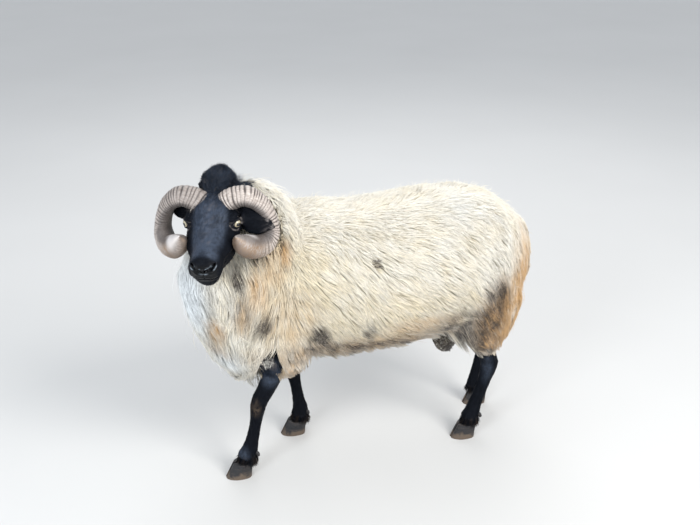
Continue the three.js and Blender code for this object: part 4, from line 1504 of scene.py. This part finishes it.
def hoof_finish(nodes, shader, colours):
    """Dark hoof in growth layers, with mud dried on its lower part."""
    place = nodes.place()
    layers = nodes.noise(place, 55.0, 3.0, 0.6, stretch=(0.5, 0.5, 6.0))
    mud = nodes.noise(place, 45.0, 4.0, 0.65)
    height = nodes.add("ShaderNodeSeparateXYZ", {0: place}).outputs[2]
    bare = nodes.mix(nodes.ease(layers, 0.35, 0.8), colours.hoof[:], HOOF_LAYERS)
    caked = nodes.math("SUBTRACT", mud, nodes.math("MULTIPLY", height, 18.0))
    muddy = nodes.mix(nodes.ease(caked, 0.15, 0.42), bare, colours.mud[:])
    nodes.feed(shader.inputs["Base Color"], muddy)
    nodes.feed(shader.inputs["Roughness"], nodes.ease(mud, 0.35, 0.65, 0.4, 0.8))
    lumps = nodes.math("ADD", nodes.math("MULTIPLY", layers, 0.6), mud)
    nodes.feed(shader.inputs["Normal"], nodes.bump(lumps, 0.5, 0.002))


# ---- Horns, eyes and hooves.

HORN_HEART = (-6, 86, -18)
HORN_FACING = 0.6
HORN_PATH = ((-36, 10, 8), (-46, 40, 29), (-51, 74, 34), (-50, 104, 12), (-42, 121, -21),
             (-26, 125, -50), (-1, 114, -63), (23, 93, -53), (43, 74, -28), (58, 62, 10))
horn_breadth = curve_through(((0, 30), (0.25, 28), (0.5, 26), (0.78, 28), (0.87, 25), (0.95, 14), (1, 3.5)))
horn_flatness = curve_through(((0, 0.8), (0.25, 0.74), (0.45, 0.66), (0.75, 0.95), (1, 1)))
HORN_RINGS = 48
HORN_STATIONS = 460
HORN_SIDES = 40


def even_route(points, count):
    """Places evenly spaced along a centripetal spline through the points, and its tangents."""
    points = np.array(points, float)
    ends = np.vstack([2 * points[0] - points[1], points, 2 * points[-1] - points[-2]])
    dense = []
    for p0, p1, p2, p3 in zip(ends[:-3], ends[1:-2], ends[2:-1], ends[3:]):
        gaps = [np.linalg.norm(b - a) ** 0.5 for a, b in ((p0, p1), (p1, p2), (p2, p3))]
        t1 = ((p1 - p0) / gaps[0] - (p2 - p0) / (gaps[0] + gaps[1]) + (p2 - p1) / gaps[1]) * gaps[1]
        t2 = ((p2 - p1) / gaps[1] - (p3 - p1) / (gaps[1] + gaps[2]) + (p3 - p2) / gaps[2]) * gaps[1]
        s = np.linspace(0, 1, 200, endpoint=False)[:, None]
        dense.append(p1 + t1 * s + (-3 * p1 + 3 * p2 - 2 * t1 - t2) * s ** 2
                     + (2 * p1 - 2 * p2 + t1 + t2) * s ** 3)
    dense = np.vstack([*dense, points[-1]])
    gone = np.append(0, np.cumsum(np.linalg.norm(np.diff(dense, axis=0), axis=1)))
    share = np.linspace(0, gone[-1], count)
    places = np.stack([np.interp(share, gone, dense[:, i]) for i in range(3)], 1)
    return places, unit(np.gradient(places, axis=0)), gone[-1]


def build_horn(flank, side):
    """One ringed horn, swept along the same curl as its solid and modelled more finely."""
    mirror = np.array((1, side, 1))
    places, ahead, reach = even_route(np.array(HORN_PATH) * mirror, HORN_STATIONS)
    t = np.linspace(0, 1, HORN_STATIONS)
    lead = unit(places - np.array(HORN_HEART) * mirror) + np.array((HORN_FACING, 0, 0))
    front = unit(lead - ahead * dot(lead, ahead))
    across = np.cross(ahead, front)
    chance = np.random.default_rng(31 + side)
    pace = 1 + 0.20 * np.sin(t * 23 + chance.uniform(0, 6)) + 0.26 * np.sin(t * 67 + 2 * side)
    phase = np.cumsum(pace) / pace.sum() * HORN_RINGS
    angles = np.linspace(0, 2 * np.pi, HORN_SIDES, endpoint=False)
    turn = angles[None]
    sway = 0.16 * np.sin(turn + 6 * t[:, None]) + 0.10 * np.sin(3 * turn - 17 * t[:, None])
    wave = 0.5 + 0.5 * np.cos(2 * np.pi * (phase[:, None] + sway))
    crest = wave ** 0.5
    fade = smooth(0.95, 0.55, t)
    strength = (0.55 + 0.45 * np.sin(phase * 1.3 + side) ** 2) * fade
    bold = 0.72 + 0.28 * np.cos(turn)
    major = np.sin(2 * np.pi * phase / 5.3)[:, None] * 0.012 * fade[:, None]
    ridge = 1 + 0.085 * (crest - 0.55) * strength[:, None] * bold + major
    ridge += 0.010 * np.sin(5 * turn + 9 * t[:, None]) + 0.006 * np.sin(11 * turn + 31 * t[:, None])
    dome = np.minimum(1, 0.15 + 0.85 * np.sqrt(1 - (1 - np.clip((1 - t) / 0.02, 0, 1)) ** 2))
    broad = horn_breadth(t) * dome
    keel = 1 + 0.05 * np.cos(3 * turn)
    deep = (broad * horn_flatness(t))[:, None] * ridge * keel
    wide = broad[:, None] * ridge * keel
    rings = (places[:, None] + front[:, None] * (np.cos(turn) * deep)[..., None]
             + across[:, None] * (np.sin(turn) * wide)[..., None])
    points = np.vstack([rings.reshape(-1, 3), places[:1], places[-1:] + ahead[-1:] * 0.5])
    n, m = HORN_STATIONS, HORN_SIDES
    i, j = np.meshgrid(np.arange(n - 1), np.arange(m), indexing="ij")
    a, b = i * m + j, i * m + (j + 1) % m
    quads = np.stack([a, b, b + m, a + m], -1).reshape(-1, 4)
    faces = quads.tolist()
    faces += [(n * m, (k + 1) % m, k) for k in range(m)]
    faces += [(n * m + 1, (n - 1) * m + k, (n - 1) * m + (k + 1) % m) for k in range(m)]
    mesh = bpy.data.meshes.new(f"horn_{flank}_ringed")
    mesh.from_pydata(from_head(points).tolist(), [], faces)
    mesh.shade_smooth()
    piece = bpy.data.objects.new(mesh.name, mesh)
    bpy.context.scene.collection.objects.link(piece)
    alone(piece)
    edit_whole(bpy.ops.mesh.normals_make_consistent, inside=False)
    # Painted shade: a little over both horns, more on the face towards the curl's heart, and more on the
    # right horn's first half.
    inner = smooth(0.65, -0.25, np.cos(turn) + 0 * t[:, None]) * smooth(0.02, 0.16, t)[:, None]
    shade = 0.20 + (0.36 if side < 0 else 0) * smooth(0.5, 0.25, t)[:, None]
    inner = np.maximum(inner, shade + 0 * inner)
    deep_groove = (0.45 + 0.55 * strength[:, None] * bold) * (0.25 + 0.75 * fade[:, None])
    crests = 1 - (1 - crest) * deep_groove
    ends = np.zeros(2)
    smooth_end = (smooth(0.62, 0.86, t)[:, None] + 0 * turn).ravel()
    facing = front[:, None] * np.cos(turn)[..., None] + across[:, None] * np.sin(turn)[..., None]
    up = (facing @ HEAD_AXES.T)[..., 2]
    # Painted light: the upward faces of the horn's end pale, more on the right horn than the left.
    pale_end = smooth(0.80, 0.92, t)[:, None] * smooth(-0.4, 0.5, up + 0.8 * facing[..., 0])
    pale_end *= 0.55 - 0.40 * side
    pale_end = np.maximum(pale_end, 0.85 * smooth(0.76, 0.88, t)[:, None] * smooth(0.55, 0.9, up))
    # Painted shade: brown on the downward faces of the horn's end.
    underside = smooth(0.66, 0.82, t)[:, None] * smooth(-0.15, -0.75, up) * 0.75
    give_values(mesh, crest=np.append(crests.ravel(), ends),
                inner=np.append(0.85 * inner.ravel(), ends),
                smooth_end=np.append(smooth_end, ends + (0, 1)),
                pale_end=np.append(pale_end.ravel(), ends),
                underside=np.append(underside.ravel(), ends))
    own = np.stack([np.broadcast_to(t[:, None] * reach, deep.shape),
                    np.cos(turn) * deep, np.sin(turn) * wide], -1).reshape(-1, 3)
    give_vectors(mesh, "horn_place", np.vstack([own, np.zeros((2, 3))]) * MM)
    finished(piece, finish("ram_horn", horn_finish), "horn", f"horn_{flank}")


def build_eye(flank, side):
    """An eyeball with a clear bulge over the iris."""
    bpy.ops.mesh.primitive_uv_sphere_add(
        segments=64, ring_count=40, radius=EYE_RADIUS * MM,
        location=middle_of(f"eye_{flank}").tolist())
    piece = bpy.context.object
    piece.name = piece.data.name = f"eyeball_{flank}"
    alone(piece)
    bpy.ops.object.transform_apply(location=True, rotation=True, scale=True)
    mesh = piece.data
    out = unit(np.array((0.60, side * 0.79, 0.08)))
    level = unit(np.array((math.cos(HEAD_NOD), 0, math.sin(HEAD_NOD))))
    along = unit(level - out * (level @ out))
    up = np.cross(out, along)
    local = (points_of(mesh) - middle_of(f"eye_{flank}")) @ HEAD_AXES
    own = np.stack([local @ along, local @ up, local @ out], 1)
    bulge = 0.9 * MM * np.exp(-(np.linalg.norm(own[:, :2], axis=1) / 0.0075) ** 2) * (own[:, 2] > 0)
    move_points(mesh, points_of(mesh) + unit(local) @ HEAD_AXES.T * bulge[:, None])
    give_vectors(mesh, "eye_place", own)
    mesh.shade_smooth()
    finished(piece, finish("ram_eye", eye_finish), "eye", f"eye_{flank}")


def build_hoof(node):
    """One claw: its solid with rounded edges."""
    piece = joined_copy((node,), node.replace("claw", "hoof"))
    alone(piece)
    edge = piece.modifiers.new("rounded_edges", "BEVEL")
    edge.width, edge.segments, edge.limit_method = 0.0034, 4, "ANGLE"
    edge.angle_limit = math.radians(35)
    bpy.ops.object.modifier_apply(modifier=edge.name)
    piece.data.shade_smooth()
    finished(piece, finish("ram_hoof", hoof_finish), "hoof", node)


DEWCLAW_SIZE = (0.0052, 0.0050, 0.0085)
DEWCLAW_RISE = 0.036  # its height above the shank's lower end


def build_dewclaws(leg, shank):
    """The two small horny claws behind one fetlock."""
    places = points_of(made(shank).data)
    height = places[:, 2].min() + DEWCLAW_RISE
    level = places[np.abs(places[:, 2] - height) < 0.016]
    rear, middle = level[:, 0].min(), (level[:, 1].min() + level[:, 1].max()) / 2
    claws = []
    for side in SIDES.values():
        bpy.ops.mesh.primitive_uv_sphere_add(
            segments=20, ring_count=14, radius=1, scale=DEWCLAW_SIZE,
            location=(rear + 0.002, middle + side * 0.0105, height - 0.004),
            rotation=(side * 0.2, 0.45, 0))
        claws.append(bpy.context.object)
    alone(*claws)
    bpy.ops.object.join()
    piece = bpy.context.object
    piece.name = piece.data.name = f"dewclaws_{leg}"
    bpy.ops.object.transform_apply(location=True, rotation=True, scale=True)
    piece.data.shade_smooth()
    finished(piece, finish("ram_hoof", hoof_finish), "hoof", shank)


def build_coronet_hair(ground):
    """The fringe of hair that hangs over the top of each hoof."""
    chance = np.random.default_rng(bpy.context.scene.ram_coat.seed + 3)
    count = HOOF_TOP_LOCKS // thinner()
    low = (ground.middle[:, 2] < 0.056) & (ground.middle[:, 2] > 0.034)
    triangles, weights = ground.scatter(chance, count, low)
    root = ground.mixed(ground.points, triangles, weights)
    normal = unit(ground.mixed(ground.normals, triangles, weights))
    reach = chance.uniform(0.011, 0.020, count)[:, None]
    ahead = unit(normal * (1, 1, 0) * 0.42 + np.array((0.10, 0, -1)) + chance.normal(0, 0.10, (count, 3)))
    line = np.stack([root - normal * 0.5 * MM, root + normal * 1.4 * MM + ahead * reach * 0.5,
                     root + normal * 1.0 * MM + ahead * reach], 1)
    width = np.array((0.9, 0.8))[None] * 0.0012 * chance.uniform(0.7, 1.3, (count, 1))
    uv = ground.unwrapped(triangles, weights)
    piece = strand_mesh("short_hair_feet", line, np.stack([normal] * 3, 1), width, 0.7, 0.4, uv,
                        {"tint": chance.uniform(0, 1, count), "mud": 0.8 * muddiness(root)})
    finished(piece, finish("ram_black_hair", hair_finish), "black_hair", *SHANKS)


# ---- The stage.

def build_stage():
    """A pale floor and soft light."""
    bpy.ops.object.select_all(action="DESELECT")
    bpy.ops.mesh.primitive_plane_add(size=60)
    floor = bpy.context.object
    floor.name = floor.data.name = "floor"
    material, nodes, shader = new_material("floor")
    mottle = nodes.noise(nodes.place(), 1.3, 2.0)
    nodes.feed(shader.inputs["Base Color"], nodes.mix(mottle, (0.60, 0.60, 0.59), (0.64, 0.64, 0.63)))
    shader.inputs["Roughness"].default_value = 0.9
    floor.data.materials.append(material)
    world = bpy.data.worlds.new("studio")
    world.use_nodes = True
    backdrop = world.node_tree.nodes["Background"]
    backdrop.inputs["Color"].default_value = (0.90, 0.94, 1.0, 1)
    backdrop.inputs["Strength"].default_value = 0.82
    bpy.context.scene.world = world
    bpy.context.scene.view_settings.view_transform = "Standard"
    for name, place, size, power, colour in (
            ("key", (-1.5, 2.9, 3.1), 1.8, 150, (1.0, 0.975, 0.94)),
            ("fill", (2.4, 2.2, 1.9), 1.2, 54, (0.92, 0.96, 1.0)),
            ("rim", (-0.8, -2.4, 2.8), 2.0, 32, (1.0, 1.0, 1.0))):
        light = bpy.data.objects.new(name, bpy.data.lights.new(name, "AREA"))
        light.data.size, light.data.energy, light.data.color = size, power, colour
        light.location = place
        light.rotation_euler = (Vector((0, 0, 0.4)) - Vector(place)).to_track_quat("-Z", "Y").to_euler()
        bpy.context.scene.collection.objects.link(light)


def build_camera():
    """The camera, where the stage's sizes put it."""
    sizes = bpy.context.scene.ram_stage
    camera = bpy.data.objects.new("camera", bpy.data.cameras.new("camera"))
    camera.data.sensor_width, camera.data.lens = 36, sizes.camera_lens
    camera.location = sizes.camera_place
    level = math.cos(sizes.camera_fall)
    axis = Vector((level * math.cos(sizes.camera_azimuth), level * math.sin(sizes.camera_azimuth),
                   -math.sin(sizes.camera_fall)))
    camera.rotation_euler = axis.to_track_quat("-Z", "Y").to_euler()
    bpy.context.scene.collection.objects.link(camera)
    bpy.context.scene.camera = camera


# ---- Operators.

class RAM_OT_camera(bpy.types.Operator):
    """Place the camera"""
    bl_idname = "ram.camera"
    bl_label = "Camera"

    def execute(self, context):
        build_camera()
        return {"FINISHED"}


class RAM_OT_skin(bpy.types.Operator):
    """Build the skin that stands for all the flesh"""
    bl_idname = "ram.skin"
    bl_label = "Skin"

    def execute(self, context):
        unwrap(build_skin(), "skin_unwrap")
        return {"FINISHED"}


class RAM_OT_fleece(bpy.types.Operator):
    """Grow the locks of the fleece"""
    bl_idname = "ram.fleece"
    bl_label = "Fleece"

    def execute(self, context):
        build_fleece(Ground(made("skin")))
        return {"FINISHED"}


class RAM_OT_hair(bpy.types.Operator):
    """Grow the black wool of the poll and the short hair of face, ears and legs"""
    bl_idname = "ram.hair"
    bl_label = "Black hair"

    def execute(self, context):
        ground = Ground(made("skin"))
        build_topknot(ground)
        build_short_hair(ground)
        build_coronet_hair(ground)
        return {"FINISHED"}


class RAM_OT_horns(bpy.types.Operator):
    """Build the two horns"""
    bl_idname = "ram.horns"
    bl_label = "Horns"

    def execute(self, context):
        for flank, side in SIDES.items():
            build_horn(flank, side)
        return {"FINISHED"}


class RAM_OT_eyes(bpy.types.Operator):
    """Build the two eyes"""
    bl_idname = "ram.eyes"
    bl_label = "Eyes"

    def execute(self, context):
        for flank, side in SIDES.items():
            build_eye(flank, side)
        return {"FINISHED"}


class RAM_OT_hooves(bpy.types.Operator):
    """Build the eight claws of the hooves and the dewclaws"""
    bl_idname = "ram.hooves"
    bl_label = "Hooves"

    def execute(self, context):
        for node in sorted(frame["nodes"]):
            if "claw" in node:
                build_hoof(node)
        for leg, shank in zip(LEGS, SHANKS):
            build_dewclaws(leg, shank)
        return {"FINISHED"}


class RAM_OT_stage(bpy.types.Operator):
    """Lay the floor and set the lights"""
    bl_idname = "ram.stage"
    bl_label = "Stage"

    def execute(self, context):
        build_stage()
        return {"FINISHED"}


STEPS = (RAM_OT_camera, RAM_OT_skin, RAM_OT_fleece, RAM_OT_hair, RAM_OT_horns, RAM_OT_eyes, RAM_OT_hooves,
         RAM_OT_stage)
SIZES = {"ram_skin": RamSkinSizes, "ram_coat": RamCoatSizes, "ram_colours": RamColours,
         "ram_stage": RamStageSizes}


class RAM_PT_pieces(bpy.types.Panel):
    """The ram's sizes, colours and pieces"""
    bl_label = "Hill Ram"
    bl_idname = "RAM_PT_pieces"
    bl_space_type = "VIEW_3D"
    bl_region_type = "UI"
    bl_category = "Hill Ram"

    def draw(self, context):
        for name, sizes in SIZES.items():
            box = self.layout.box()
            for key in sizes.__annotations__:
                box.prop(getattr(context.scene, name), key)
        for step in STEPS:
            self.layout.operator(step.bl_idname)


def register():
    for kind in (*SIZES.values(), *STEPS, RAM_PT_pieces):
        bpy.utils.register_class(kind)
    for name, sizes in SIZES.items():
        setattr(bpy.types.Scene, name, bpy.props.PointerProperty(type=sizes))


def unregister():
    for name in SIZES:
        delattr(bpy.types.Scene, name)
    for kind in (RAM_PT_pieces, *reversed(STEPS), *reversed(tuple(SIZES.values()))):
        bpy.utils.unregister_class(kind)


def main():
    """Builds every piece."""
    register()
    for step in STEPS:
        group, name = step.bl_idname.split(".")
        getattr(getattr(bpy.ops, group), name)()


if __name__ == "__main__":
    main()
